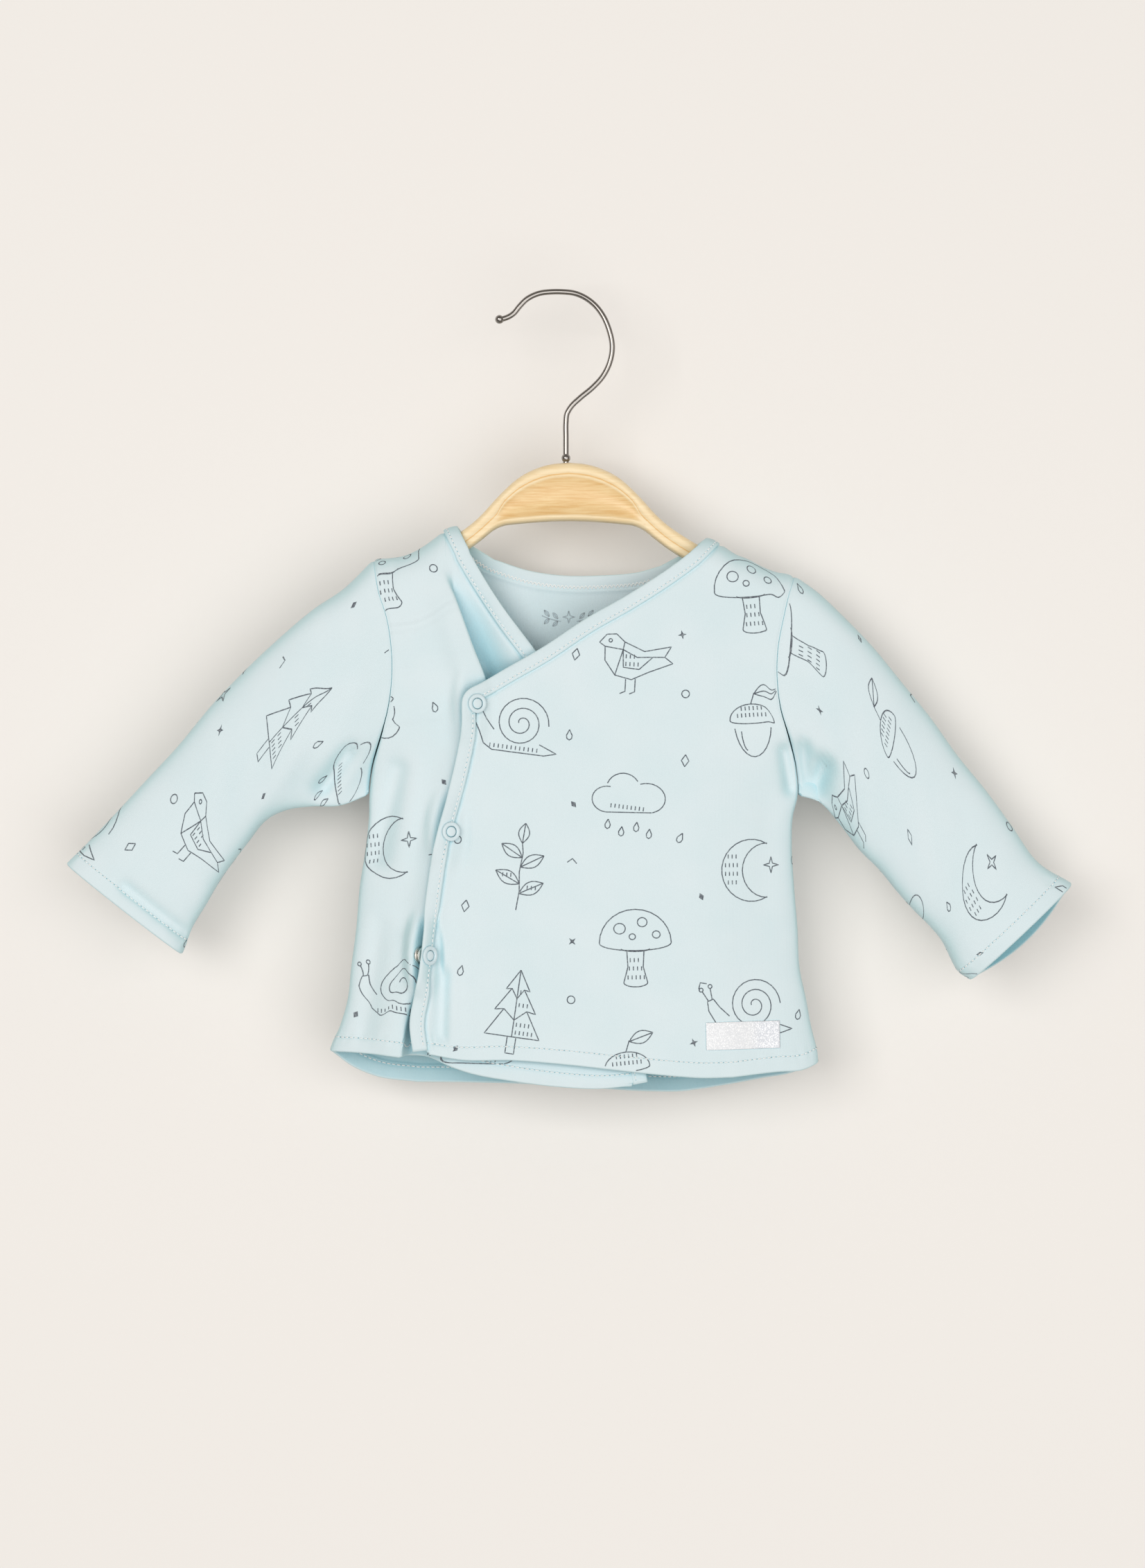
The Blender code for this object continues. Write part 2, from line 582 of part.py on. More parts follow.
def make_binding(centres, across, up):
    half = BINDING_WIDTH / 2
    sections = [[centre + side * half * out + rise * BINDING_THICK / 2 * lift
                 for side, rise in BINDING_SECTION]
                for centre, out, lift in zip(centres, across, up)]
    finish_object("binding", loft_mesh("binding", sections), "binding")


# ---- body panels ----

ARMHOLE_SHARE = 0.46        # of a panel's rows that lie above the underarm
LEFT_TIP, RIGHT_TIP = -95.2, 118.0          # x of the shoulders' ends
LEFT_WAIST, RIGHT_WAIST = (-62.0, -250.0), (79.0, -250.0)
INNER_FOLD = 3              # rows of the hems' tables where a panel's fields part
BACK_LEFT, BACK_RIGHT = 3, 9
OUTER_RIGHT = 7
EDGE_SHARE, EDGE_COLUMNS = 0.13, 6          # close columns beside the outer front's binding

# Rows down each panel: close at the shoulder, and one to each side of every snap
ROWS_DOWN = {
    "back": (0, 0.01, 0.03, 0.06, 0.10, 0.15, 0.21, 0.27, 0.34, 0.41, 0.48, 0.55, 0.63, 0.71,
             0.80, 0.90, 1.0),
    "inner": (0, 0.01, 0.03, 0.06, 0.10, 0.15, 0.21, 0.26, 0.305, 0.355, 0.41, 0.48, 0.548,
              0.598, 0.66, 0.73, 0.782, 0.832, 0.91, 1.0),
    "outer": (0, 0.01, 0.03, 0.055, 0.09, 0.14, 0.20, 0.27, 0.33, 0.362, 0.41, 0.47, 0.55, 0.63,
              0.695, 0.76, 0.84, 0.92, 1.0),
}


def patch(edges, across, down):
    """Points in front view between four edges, each read from 0 to 1."""
    top, bottom, left, right = edges
    u, v = np.meshgrid(across, down)
    a, b = u[..., None], v[..., None]
    corners = ((1 - a) * (1 - b) * top(0.0) + a * (1 - b) * top(1.0)
               + (1 - a) * b * bottom(0.0) + a * b * bottom(1.0))
    return (1 - b) * top(u) + b * bottom(u) + (1 - a) * left(v) + a * right(v) - corners


def panel_points(panel, fields, down):
    """A panel's middle surface from its fields, which lie side by side and share an edge."""
    flat = np.concatenate([patch(edges, across, down)[:, (1 if i else 0):]
                           for i, (edges, across) in enumerate(fields)], axis=1)
    return on_panel(panel, flat[..., 0], flat[..., 1])


def even(count):
    return np.linspace(0, 1, count)


def close_at_start(count):
    return 1 - np.cos(math.pi / 2 * even(count))


def close_at_end(count):
    return np.sin(math.pi / 2 * even(count))


def close_at_both(count):
    return (1 - np.cos(math.pi * even(count))) / 2


def panel_fields(seam, begins):
    """Each panel's fields with their steps across, from the binding's seam line.

    begins says where each stretch of the binding starts, in the order it is laid.
    """
    right_top, left_top = begins[4], begins[8]
    outer_corner, inner_corner = begins[2] - CORNER_STEPS // 2, begins[11]
    left_neck = np.array((seam[left_top][0], shoulder_z(seam[left_top][0])))
    right_neck = np.array((seam[right_top][0], shoulder_z(seam[right_top][0])))
    left_shoulder = shoulder(LEFT_TIP, left_neck[0])
    right_shoulder = shoulder(right_neck[0], RIGHT_TIP)
    left_side = body_side("left", float(shoulder_z(LEFT_TIP)), INNER_HEM[0][1])
    right_side = body_side("right", float(shoulder_z(RIGHT_TIP)), OUTER_HEM[-1][1])

    outer_neck = np.vstack((seam[outer_corner:right_top], [right_neck]))
    outer_front = np.vstack((seam[outer_corner:0:-1], [OUTER_HEM[0]]))
    inner_neck = np.vstack(([left_neck], seam[left_top + 1:inner_corner + 1]))
    inner_front = np.vstack((seam[inner_corner:-1], [INNER_HEM[-1]]))
    fold = np.vstack(([left_neck], TUCK_UP[-2:1:-1, 1::-1], [INNER_HEM[INNER_FOLD]]))
    back_neck = np.vstack(([right_neck], seam[right_top + 1:left_top], [left_neck]))[::-1]

    # lines from the neck's corners to a row of the hem, which part the fields
    back_left = line_through((left_neck, LEFT_WAIST, BACK_HEM[BACK_LEFT]))
    back_right = line_through((right_neck, RIGHT_WAIST, BACK_HEM[BACK_RIGHT]))
    outer_line = line_through((right_neck, RIGHT_WAIST, OUTER_HEM[OUTER_RIGHT]))
    edge_steps = np.linspace(0, EDGE_SHARE, EDGE_COLUMNS)[:-1]
    rest_steps = EDGE_SHARE + (1 - EDGE_SHARE) * close_at_end(13)
    return {
        "back": (
            ((left_shoulder, line_through(BACK_HEM[:BACK_LEFT + 1]), left_side, back_left),
             close_at_start(8)),
            ((line_through(back_neck), line_through(BACK_HEM[BACK_LEFT:BACK_RIGHT + 1]),
              back_left, back_right), close_at_both(14)),
            ((right_shoulder, line_through(BACK_HEM[BACK_RIGHT:]), back_right, right_side),
             close_at_end(8))),
        "inner": (
            ((left_shoulder, line_through(INNER_HEM[:INNER_FOLD + 1]), left_side,
              line_through(fold)), close_at_both(12)),
            ((line_through(inner_neck), line_through(INNER_HEM[INNER_FOLD:]),
              line_through(fold), line_through(inner_front)), close_at_start(13))),
        "outer": (
            ((line_through(outer_neck), line_through(OUTER_HEM[:OUTER_RIGHT + 1]),
              line_through(outer_front), outer_line),
             np.concatenate((edge_steps, rest_steps))),
            ((right_shoulder, line_through(OUTER_HEM[OUTER_RIGHT:]), outer_line, right_side),
             close_at_end(8))),
    }


def make_panels(fields):
    names = {"back": "back", "inner": "front_right_under", "outer": "front_left_over"}
    for panel, name in names.items():
        points = panel_points(panel, fields[panel], ROWS_DOWN[panel])
        if panel == "back":
            points = points[:, ::-1]
        wall(finish_object(name, grid_mesh(name, points), "jersey"), CLOTH)


# ---- sleeves ----

def sleeve_points(table, side, panel, along_steps, around):
    """Rings from the armhole to the cuff; the first follows the armhole seam."""
    table = np.asarray(table, float)
    rows = np.linspace(0, 1, len(table))
    out = -1.0 if side == "left" else 1.0
    rings = []
    for s in along_steps:
        read = {name: along(rows, table[:, i], s) for i, name in enumerate(SLEEVE_COLUMNS)}
        turn = 2 * math.pi * np.arange(around) / around
        t = (1 - np.cos(turn)) / 2
        front = np.sin(turn) > 0
        seam_z = table[0, 1] + t * (table[0, 3] - table[0, 1])
        seam_x = column(BODY_UP, BODY_COLUMNS, side, seam_z)
        bend = seam_x + out * (SEAM_STAND + UNDERARM_ROOM * t**6) - (
            table[0, 0] + t * (table[0, 2] - table[0, 0]))
        fade = max(0.0, 1 - s / ARMHOLE_FADE)**2
        x = read["top_x"] + t * (read["low_x"] - read["top_x"]) + bend * fade
        z = read["top_z"] + t * (read["low_z"] - read["top_z"])
        seam_y = np.where(front, height(panel, seam_x, seam_z), height("back", seam_x, seam_z))
        oval = read["half"] * np.abs(np.sin(turn))**CUFF_OVAL
        own = float(ease(s / ARMHOLE_FADE))
        y = seam_y * (1 - own) + oval * own
        fold = pressed("right_sleeve" if side == "left" else "left_sleeve", x, z)
        y = y - np.where(front, fold * round_over(y, FOLD_FADE), 0.0)
        y = np.where(np.abs(np.sin(turn)) < 1e-6, 0.0, y)
        chord = np.array((read["low_x"] - read["top_x"], read["low_z"] - read["top_z"]))
        chord /= np.linalg.norm(chord)
        hang = out * np.where(front, 0.0, read["past"] * np.sin(turn)**2)
        x = x - hang * chord[1]
        z = z + hang * chord[0]
        rings.append(np.stack((x, np.where(front, -y, y), z), axis=-1))
    return np.array(rings)


def make_sleeves():
    steps = np.linspace(0, 1, SLEEVE_RINGS)
    for name, table, side, panel in (("sleeve_right", RIGHT_SLEEVE, "left", "inner"),
                                     ("sleeve_left", LEFT_SLEEVE, "right", "outer")):
        rings = sleeve_points(table, side, panel, steps, SLEEVE_SIDES)
        if side == "left":
            rings = rings[:, ::-1]
        wall(finish_object(name, grid_mesh(name, rings, closed=True), "jersey"), CLOTH)


# ---- ring snaps ----

CAP = ((0.0, 0.75), (1.6, 0.65), (2.5, 0.4), (2.9, 0.2), (3.2, 0.75), (4.0, 1.05), (4.7, 0.8),
       (SNAP_RADIUS, 0.2), (SNAP_RADIUS, 0.0), (0.0, 0.0))
SOCKET = ((1.9, 0.0), (3.2, 0.0), (4.4, -0.25), (4.4, -1.3), (3.4, -1.6), (1.9, -1.6), (1.9, 0.0))
STUD = ((0.0, 2.0), (1.2, 1.9), (1.5, 1.5), (1.4, 0.9), (4.4, 0.8), (4.8, 0.5), (4.8, 0.0),
        (0.0, 0.0))


def turned(name, profile, finish, steps=20):
    """A profile of radius and height, turned round its own Z axis."""
    mesh = bpy.data.meshes.new(name)
    ring = profile[0] == profile[-1]
    outline = profile[:-1] if ring else profile
    verts = [(radius * MM, 0.0, rise * MM) for radius, rise in outline]
    edges = [(i, i + 1) for i in range(len(verts) - 1)]
    if ring:
        edges.append((len(verts) - 1, 0))
    mesh.from_pydata(verts, edges, [])
    obj = finish_object(name, mesh, finish)
    screw = obj.modifiers.new("turned", "SCREW")
    screw.steps = screw.render_steps = steps
    screw.use_merge_vertices = True
    screw.merge_threshold = 0.00001
    return obj


def make_snaps():
    for row in SNAPS:
        snap = dict(zip(SNAP_COLUMNS, row))
        turn = math.radians(snap["turn"])
        axis = np.array((math.sin(turn), -math.cos(turn), 0.0))
        middle = np.array((snap["x"], -snap_height(snap), snap["z"]))
        frame = Vector(axis).to_track_quat("Z", "Y").to_matrix().to_4x4()
        levels = (("cap", CAP, "snap_enamel", BINDING_THICK / 2 + SNAP_ROOM),
                  ("socket", SOCKET, "snap_metal", -BINDING_THICK / 2 - SNAP_ROOM),
                  ("stud", STUD, "snap_metal", -SNAP_STACK + CLOTH / 2 + SNAP_ROOM))
        for kind, profile, finish, level in levels:
            obj = turned(f"snap_{snap['name']}_{kind}", profile, finish)
            obj.matrix_world = Matrix.Translation(Vector((middle + axis * level) * MM)) @ frame


# ---- label ----

def make_label():
    tilt = math.radians(LABEL_TILT)
    u, v = np.meshgrid(np.linspace(-0.5, 0.5, 6), np.linspace(0.5, -0.5, 3))
    run, fall = u * LABEL_WIDTH, v * LABEL_HEIGHT
    x = LABEL_AT[0] + run * math.cos(tilt) - fall * math.sin(tilt)
    z = LABEL_AT[1] + run * math.sin(tilt) + fall * math.cos(tilt)
    lift = (CLOTH + LABEL_THICK) / 2 + SEAM_GAP
    points = on_panel("outer", x, z) + lift * outward("outer", x, z)
    wall(finish_object("label", grid_mesh("label", points), "woven_label"), LABEL_THICK)


# ---- hanger ----

def hanger_section(out):
    """One rounded section of the wood: y and z offsets, thinner in the middle field."""
    top, low, half = (float(column(HANGER, HANGER_COLUMNS, name, abs(out)))
                      for name in HANGER_COLUMNS[1:])
    slim = min(1.0, (top - low) / SLIM_BELOW)
    top_round, foot_round, above, below, slope = (
        slim * size for size in (TOP_ROUND, FOOT_ROUND, WEB_TOP, WEB_FOOT, WEB_SLOPE))
    web = half - WEB_RECESS * float(ease((WEB_REACH - abs(out)) / WEB_END + 0.5))
    side = ((TOP_FLAT * half, top), (BEVEL_IN * half, top - BEVEL_DOWN * top_round),
            (half, top - top_round), (half, top - above), (web, top - above - slope),
            (web, low + below + slope), (half, low + below), (half, low + foot_round),
            (BEVEL_IN * half, low + BEVEL_DOWN * foot_round), (TOP_FLAT * half, low))
    return [(y, z) for y, z in side] + [(-y, z) for y, z in side[::-1]]


def make_hanger():
    bends = [row[0] for row in HANGER]
    outs = sorted({round(side * out, 3) for out in bends for side in (-1, 1)})
    sections = [[(HANGER_X + out, y, z) for y, z in hanger_section(out)] for out in outs]
    wood = finish_object("hanger", loft_mesh("hanger", sections), "beech")
    bpy.ops.mesh.primitive_cylinder_add(vertices=20, radius=SOCKET_RADIUS * MM,
                                        depth=DRILL_LENGTH * MM)
    drill = bpy.context.object
    drill.name = "hook_hole_cutter"
    drill.location = (HOOK[-1][0] * MM, 0.0, (SOCKET_FLOOR + DRILL_LENGTH / 2) * MM)
    drill.hide_render = True
    drill.display_type = "WIRE"
    for collection in list(drill.users_collection):
        collection.objects.unlink(drill)
    bpy.data.collections["cutters"].objects.link(drill)
    cut = wood.modifiers.new("hook_hole", "BOOLEAN")
    cut.operation = "DIFFERENCE"
    cut.object = drill


def make_hook():
    rows = np.asarray(HOOK, float)
    steps = np.linalg.norm(np.diff(rows[:, :2], axis=0), axis=1)
    keys = np.concatenate(([0.0], np.cumsum(steps)))
    at = np.sort(np.concatenate((keys, (keys[4:24] + keys[5:25]) / 2)))
    route = along(keys, rows[:, :2], at)
    radius = np.interp(at, keys, rows[:, 2])
    curve = bpy.data.curves.new("hook_curve", "CURVE")
    curve.dimensions = "3D"
    curve.bevel_depth = MM
    curve.bevel_resolution = 2
    curve.use_fill_caps = True
    spline = curve.splines.new("POLY")
    spline.points.add(len(at) - 1)
    for point, (x, z), size in zip(spline.points, route, radius):
        point.co = (x * MM, 0.0, z * MM, 1.0)
        point.radius = size
    guide = bpy.data.objects.new("hook_curve", curve)
    bpy.context.scene.collection.objects.link(guide)
    bpy.context.view_layer.update()
    mesh = bpy.data.meshes.new_from_object(guide.evaluated_get(
        bpy.context.evaluated_depsgraph_get()))
    mesh.name = "hook"
    work = bmesh.new()
    work.from_mesh(mesh)
    bmesh.ops.remove_doubles(work, verts=work.verts[:], dist=0.00002)
    work.to_mesh(mesh)
    work.free()
    mesh.materials.clear()
    bpy.data.objects.remove(guide)
    finish_object("hook", mesh, "chrome")


# ---- the whole object ----

for old in list(bpy.data.objects):
    bpy.data.objects.remove(old)
for name in (COLLECTION, "cutters"):
    bpy.context.scene.collection.children.link(bpy.data.collections.new(name))

strip_centres, strip_normals, strip_begins = binding_stations(BINDING_STEP)
strip_across, strip_up = strip_frames(strip_centres, strip_normals)
seam_line = (strip_centres + strip_across * (BINDING_WIDTH / 2 + SEAM_STAND))[:, [0, 2]]

make_panels(panel_fields(seam_line, strip_begins))
make_binding(strip_centres, strip_across, strip_up)
make_sleeves()
make_snaps()
make_label()
make_hanger()
make_hook()
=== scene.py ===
"""Looks of a baby's long-sleeved wrap top, hung on a wooden hanger before a pale wall.

Tables are in millimetres, in the model's own frame: +Z up, +X the viewer's right, the front
faces -Y, and the origin is the underside of the hook's wire at its top. Pieces follow in the order
in which the real things are made: hanger and hook, cut and sewn cloth, print, stitches, snaps,
label. The room, camera and lights come last.
"""
import json
import math
from types import SimpleNamespace

import bmesh
import bpy
import numpy as np
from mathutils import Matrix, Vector

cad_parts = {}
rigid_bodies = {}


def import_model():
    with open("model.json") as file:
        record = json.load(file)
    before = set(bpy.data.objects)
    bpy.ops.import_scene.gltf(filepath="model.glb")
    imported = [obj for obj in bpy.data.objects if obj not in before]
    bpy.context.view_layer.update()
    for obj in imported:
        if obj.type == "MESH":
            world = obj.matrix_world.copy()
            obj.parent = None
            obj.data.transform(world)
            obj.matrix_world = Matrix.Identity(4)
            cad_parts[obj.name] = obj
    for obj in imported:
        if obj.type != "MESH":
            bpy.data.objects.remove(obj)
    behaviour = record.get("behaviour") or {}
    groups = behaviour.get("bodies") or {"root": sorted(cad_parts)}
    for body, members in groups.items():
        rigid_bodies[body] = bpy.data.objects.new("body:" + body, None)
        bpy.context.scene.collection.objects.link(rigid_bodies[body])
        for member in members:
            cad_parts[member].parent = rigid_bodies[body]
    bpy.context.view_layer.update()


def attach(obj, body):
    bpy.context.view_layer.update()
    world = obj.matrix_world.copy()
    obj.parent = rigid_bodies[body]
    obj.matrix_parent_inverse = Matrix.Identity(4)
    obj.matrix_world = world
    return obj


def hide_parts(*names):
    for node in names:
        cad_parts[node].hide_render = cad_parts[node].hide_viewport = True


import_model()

# ---- Hanger --------------------------------------------------------------------------------------
# A beech board, sawn to its curve. A router has rounded its edges, sunk a thinner field into its
# middle and run a fine groove along the arms. It is drilled for the hook and clear lacquered.

MM = 0.001


def along(keys, values, at):
    """Smooth curve through a table's rows, read at one or many places."""
    keys = np.asarray(keys, float)
    values = np.asarray(values, float)
    at = np.clip(np.asarray(at, float), keys[0], keys[-1])
    slope = np.gradient(values, keys, axis=0)
    row = np.clip(np.searchsorted(keys, at) - 1, 0, len(keys) - 2)
    span = keys[row + 1] - keys[row]
    t = (at - keys[row]) / span
    if values.ndim > 1:
        span, t = span[..., None], t[..., None]
    return ((2 * t**3 - 3 * t**2 + 1) * values[row] + (t**3 - 2 * t**2 + t) * span * slope[row]
            + (3 * t**2 - 2 * t**3) * values[row + 1] + (t**3 - t**2) * span * slope[row + 1])


def column(table, columns, name, at):
    """One named column of a table whose first column is the key."""
    data = np.asarray(table, float)
    return along(data[:, 0], data[:, columns.index(name)], at)


def ease(t):
    """0 to 1 with a soft start and end."""
    t = np.clip(t, 0.0, 1.0)
    return t * t * (3 - 2 * t)


def quads(numbers):
    """Faces over a grid of vertex numbers."""
    return np.stack((numbers[:-1, :-1], numbers[1:, :-1], numbers[1:, 1:], numbers[:-1, 1:]),
                    axis=-1).reshape(-1, 4)


def full_turn(count):
    return np.linspace(0, 2 * math.pi, count, endpoint=False)


def closed_round(grid):
    """A grid with its first column again at its end."""
    return np.concatenate((grid, grid[:, :1]), axis=1)


def tube_faces(numbers):
    """Faces round rings of vertex numbers, and over both ends."""
    return [*quads(closed_round(numbers)).tolist(), numbers[0].tolist(), numbers[-1][::-1].tolist()]


def run_of(points):
    """Length along rows of points, from 0 at the first."""
    steps = np.linalg.norm(np.diff(points, axis=0), axis=-1)
    return np.concatenate((np.zeros((1, *steps.shape[1:])), np.cumsum(steps, axis=0)))


def unit(vectors):
    return vectors / np.maximum(np.linalg.norm(vectors, axis=-1), 1e-9)[..., None]


def place_object(name, data):
    """A new object in the scene."""
    obj = bpy.data.objects.new(name, data)
    bpy.context.scene.collection.objects.link(obj)
    return obj


def make_piece(name, points, faces, material):
    """A smooth, closed mesh in millimetres, as a piece of the object that rides on its one body."""
    mesh = bpy.data.meshes.new(name)
    mesh.from_pydata((np.asarray(points, float) * MM).tolist(), [],
                     [tuple(int(v) for v in face) for face in faces])
    mesh.shade_smooth()
    mesh.materials.append(material)
    obj = place_object(name, mesh)
    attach(obj, "root")
    return obj


def note(mesh, name, values, kind="FLOAT"):
    """Write an attribute, one value or vector to each of a mesh's points."""
    layer = mesh.attributes.new(name, kind, "POINT")
    layer.data.foreach_set("value" if kind == "FLOAT" else "vector", np.ravel(values))


def face_outward(obj, weld=None):
    """Turn a closed piece's faces outward, after joining points that lie within weld."""
    work = bmesh.new()
    work.from_mesh(obj.data)
    if weld:
        bmesh.ops.remove_doubles(work, verts=work.verts[:], dist=weld)
    bmesh.ops.recalc_face_normals(work, faces=work.faces[:])
    work.to_mesh(obj.data)
    work.free()


def make_loft(name, rings, material):
    """A closed solid through rings of points, capped at both ends."""
    rings = np.asarray(rings, float)
    numbers = np.arange(rings[..., 0].size).reshape(rings.shape[:2])
    obj = make_piece(name, rings.reshape(-1, 3), tube_faces(numbers), material)
    face_outward(obj)
    return obj


def add_node(tree, kind, sources, settings):
    """Add a node; sources are (socket, value or other node's output) pairs."""
    node = tree.nodes.new(kind)
    for key, value in settings.items():
        setattr(node, key, value)
    for socket, value in sources:
        if isinstance(value, bpy.types.NodeSocket):
            tree.links.new(value, node.inputs[socket])
        else:
            node.inputs[socket].default_value = value
    return node


class Paint:
    """A material under work: nodes are added and linked by short calls."""

    def __init__(self, name, colour, roughness, metallic=0.0):
        self.material = bpy.data.materials.new(name)
        self.material.use_nodes = True
        self.tree = self.material.node_tree
        self.shader = self.tree.nodes["Principled BSDF"]
        self.shader.inputs["Base Color"].default_value = (*colour, 1.0)
        self.shader.inputs["Roughness"].default_value = roughness
        self.shader.inputs["Metallic"].default_value = metallic

    def node(self, kind, sources=(), **settings):
        return add_node(self.tree, "ShaderNode" + kind, sources, settings)

    def place(self, source, scale=(1, 1, 1)):
        """Texture place in metres or flat cloth units, stretched by scale."""
        if source == "object":
            base = self.node("TexCoord").outputs["Object"]
        else:
            base = self.node("UVMap", uv_map=source).outputs["UV"]
        return self.node("Mapping", (("Vector", base), ("Scale", scale))).outputs["Vector"]

    def attribute(self, name):
        return self.node("Attribute", attribute_name=name).outputs["Fac"]

    def open_air(self, distance):
        """1 where nothing is near, down to 0 deep in a fold; it sets where shade is painted."""
        return self.node("AmbientOcclusion", (("Distance", distance),), samples=6).outputs["AO"]

    def product(self, first, second):
        return self.node("Math", ((0, first), (1, second)), operation="MULTIPLY",
                         use_clamp=True).outputs[0]

    def noise(self, place, scale, detail=2.0, roughness=0.5):
        return self.node("TexNoise", (("Vector", place), ("Scale", scale), ("Detail", detail),
                                      ("Roughness", roughness))).outputs["Fac"]

    def ramp(self, value, low, high, start=0.0, end=1.0):
        return self.node("MapRange", (("Value", value), ("From Min", low), ("From Max", high),
                                      ("To Min", start), ("To Max", end))).outputs["Result"]

    def mix(self, share, first, second):
        """Mix of two colours, each a colour or a socket."""
        first, second = ((*colour, 1.0) if isinstance(colour, tuple) else colour
                         for colour in (first, second))
        return self.node("Mix", ((0, share), (6, first), (7, second)), data_type="RGBA").outputs[2]

    def set(self, socket, value):
        self.tree.links.new(value, self.shader.inputs[socket])

    def bump(self, height, distance, strength=1.0, before=None):
        sources = [("Height", height), ("Distance", distance), ("Strength", strength)]
        if before is not None:
            sources.append(("Normal", before))
        return self.node("Bump", sources).outputs["Normal"]


# Middle to tip: distance out, top edge, lower edge, half thickness
HANGER_COLUMNS = ("out", "top", "low", "half")
HANGER_X = 3.0
HANGER = (
    (0.0, -84.9, -114.3, 5.4), (9.0, -85.8, -114.5, 5.4), (17.0, -88.2, -115.0, 5.4),
    (27.0, -93.9, -115.9, 5.4), (33.0, -99.4, -116.7, 5.3), (38.0, -104.6, -119.0, 5.3),
    (43.0, -110.2, -123.0, 5.2), (49.0, -115.8, -127.6, 5.1), (56.0, -120.8, -132.2, 5.0),
    (64.0, -125.8, -136.8, 4.9), (75.0, -132.2, -142.8, 4.8), (90.0, -141.0, -151.4, 4.6),
    (105.0, -149.8, -160.0, 4.4), (119.0, -158.0, -168.0, 4.2), (127.0, -163.0, -172.2, 3.9),
    (131.0, -166.4, -173.0, 2.9), (132.6, -169.0, -171.4, 1.4),
)
SLIM_BELOW = 13.0                       # where the wood is less tall, the sizes below shrink
TOP_ROUND, FOOT_ROUND = 3.4, 2.4        # rounding of its upper and lower edges
TOP_FLAT = 0.35                         # half width left between the roundings, in shares
WEB_REACH, WEB_END = 35.0, 5.0          # the sunk field's half length, and its ends
WEB_RECESS, WEB_SLOPE = 1.1, 0.9        # how deep it is sunk, and the height of its sloped sides
WEB_TOP, WEB_FOOT = 5.7, 2.6            # frame left above and below it
GROOVE_WIDE, GROOVE_DEEP, GROOVE_DOWN = 0.55, 0.5, 0.58     # the last is a share of its height
BEAD = 0.8                              # left standing between the groove and the field
BEAD_ARM = 0.2                          # the same along the arms
LIP_WORN = 0.15                         # sanded off that bead
HANGER_STATIONS, TIP_STEP = 133, 0.4    # sections along it, and one more this near each tip
FRAME_TONES = ((0.90, 0.69, 0.39), (0.95, 0.78, 0.50))
FIELD_TONES = ((0.80, 0.50, 0.20), (0.93, 0.69, 0.36))
GROOVE_TONE, FLECK_TONE = (0.74, 0.42, 0.12), (0.70, 0.44, 0.19)


def hanger_section(out):
    """Section of the wood: y, z and tone (0 on the frame, 1 in the field, 2 in the groove)."""
    top, low, half = (float(column(HANGER, HANGER_COLUMNS, name, abs(out)))
                      for name in HANGER_COLUMNS[1:])
    slim = min(1.0, (top - low) / SLIM_BELOW)
    web = float(ease((WEB_REACH - abs(out)) / WEB_END + 0.5))
    deep = half - WEB_RECESS * web
    quarter = np.radians(np.linspace(0, 90, 8))
    flat = TOP_FLAT * half
    side = [(flat + (half - flat) * math.sin(a), top - slim * TOP_ROUND * (1 - math.cos(a)), 0.0)
            for a in quarter]
    line = (1 - web) * (top - GROOVE_DOWN * (top - low)) + web * (top - slim * WEB_TOP)
    wide, slope = GROOVE_WIDE * slim, WEB_SLOPE * slim
    side += [(half, line + wide, 0.0), (half - GROOVE_DEEP * slim, line, 2.0)]
    line -= wide
    bead = BEAD * web + BEAD_ARM * slim * (1 - web)
    side += [(half - LIP_WORN * web, line, 0.0), (half - LIP_WORN * web, line - bead, 0.0)]
    side += [(deep, line - BEAD * web - slope, web), (deep, low + slim * WEB_FOOT + slope, web)]
    side += [(half, low + slim * WEB_FOOT, 0.0)]
    side += [(flat + (half - flat) * math.cos(a), low + slim * FOOT_ROUND * (1 - math.sin(a)), 0.0)
             for a in quarter]
    return side + [(-y, z, field) for y, z, field in side[::-1]]


def beech():
    paint = Paint("beech", (0.86, 0.68, 0.42), 0.42)
    grain = paint.noise(paint.place("object", (60, 260, 900)), 1.0, 6.0, 0.6)
    pores = paint.noise(paint.place("object", (180, 900, 2600)), 1.0, 3.0, 0.7)
    field = paint.attribute("field")
    frame_wood, field_wood = (paint.mix(paint.ramp(grain, 0.35, 0.65), *tones)
                              for tones in (FRAME_TONES, FIELD_TONES))
    wood = paint.mix(field, frame_wood, field_wood)
    wood = paint.mix(paint.ramp(field, 1.15, 1.8), wood, GROOVE_TONE)
    flecks = paint.ramp(pores, 0.64, 0.74, 0.0, 0.8)
    paint.set("Base Color", paint.mix(flecks, wood, FLECK_TONE))
    paint.shader.inputs["Coat Weight"].default_value = 0.25
    paint.shader.inputs["Coat Roughness"].default_value = 0.2
    paint.set("Normal", paint.bump(pores, 0.00008, 0.5))
    return paint.material


def make_hanger():
    reach = HANGER[-1][0]
    outs = np.sort(np.concatenate((np.linspace(-reach, reach, HANGER_STATIONS),
                                   [-reach + TIP_STEP, reach - TIP_STEP])))
    sections = np.array([hanger_section(out) for out in outs])
    rings = np.stack((np.broadcast_to((HANGER_X + outs)[:, None], sections.shape[:2]),
                      sections[..., 0], sections[..., 1]), axis=-1)
    obj = make_loft("hanger_wood", rings, beech())
    note(obj.data, "field", sections[..., 2])
    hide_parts("hanger")


make_hanger()

# ---- Hook ----------------------------------------------------------------------------------------
# Round steel wire, bent to a question mark, with a ball pressed on its tip and a collar above the
# wood. It is chrome plated and turns in the drilled hole.

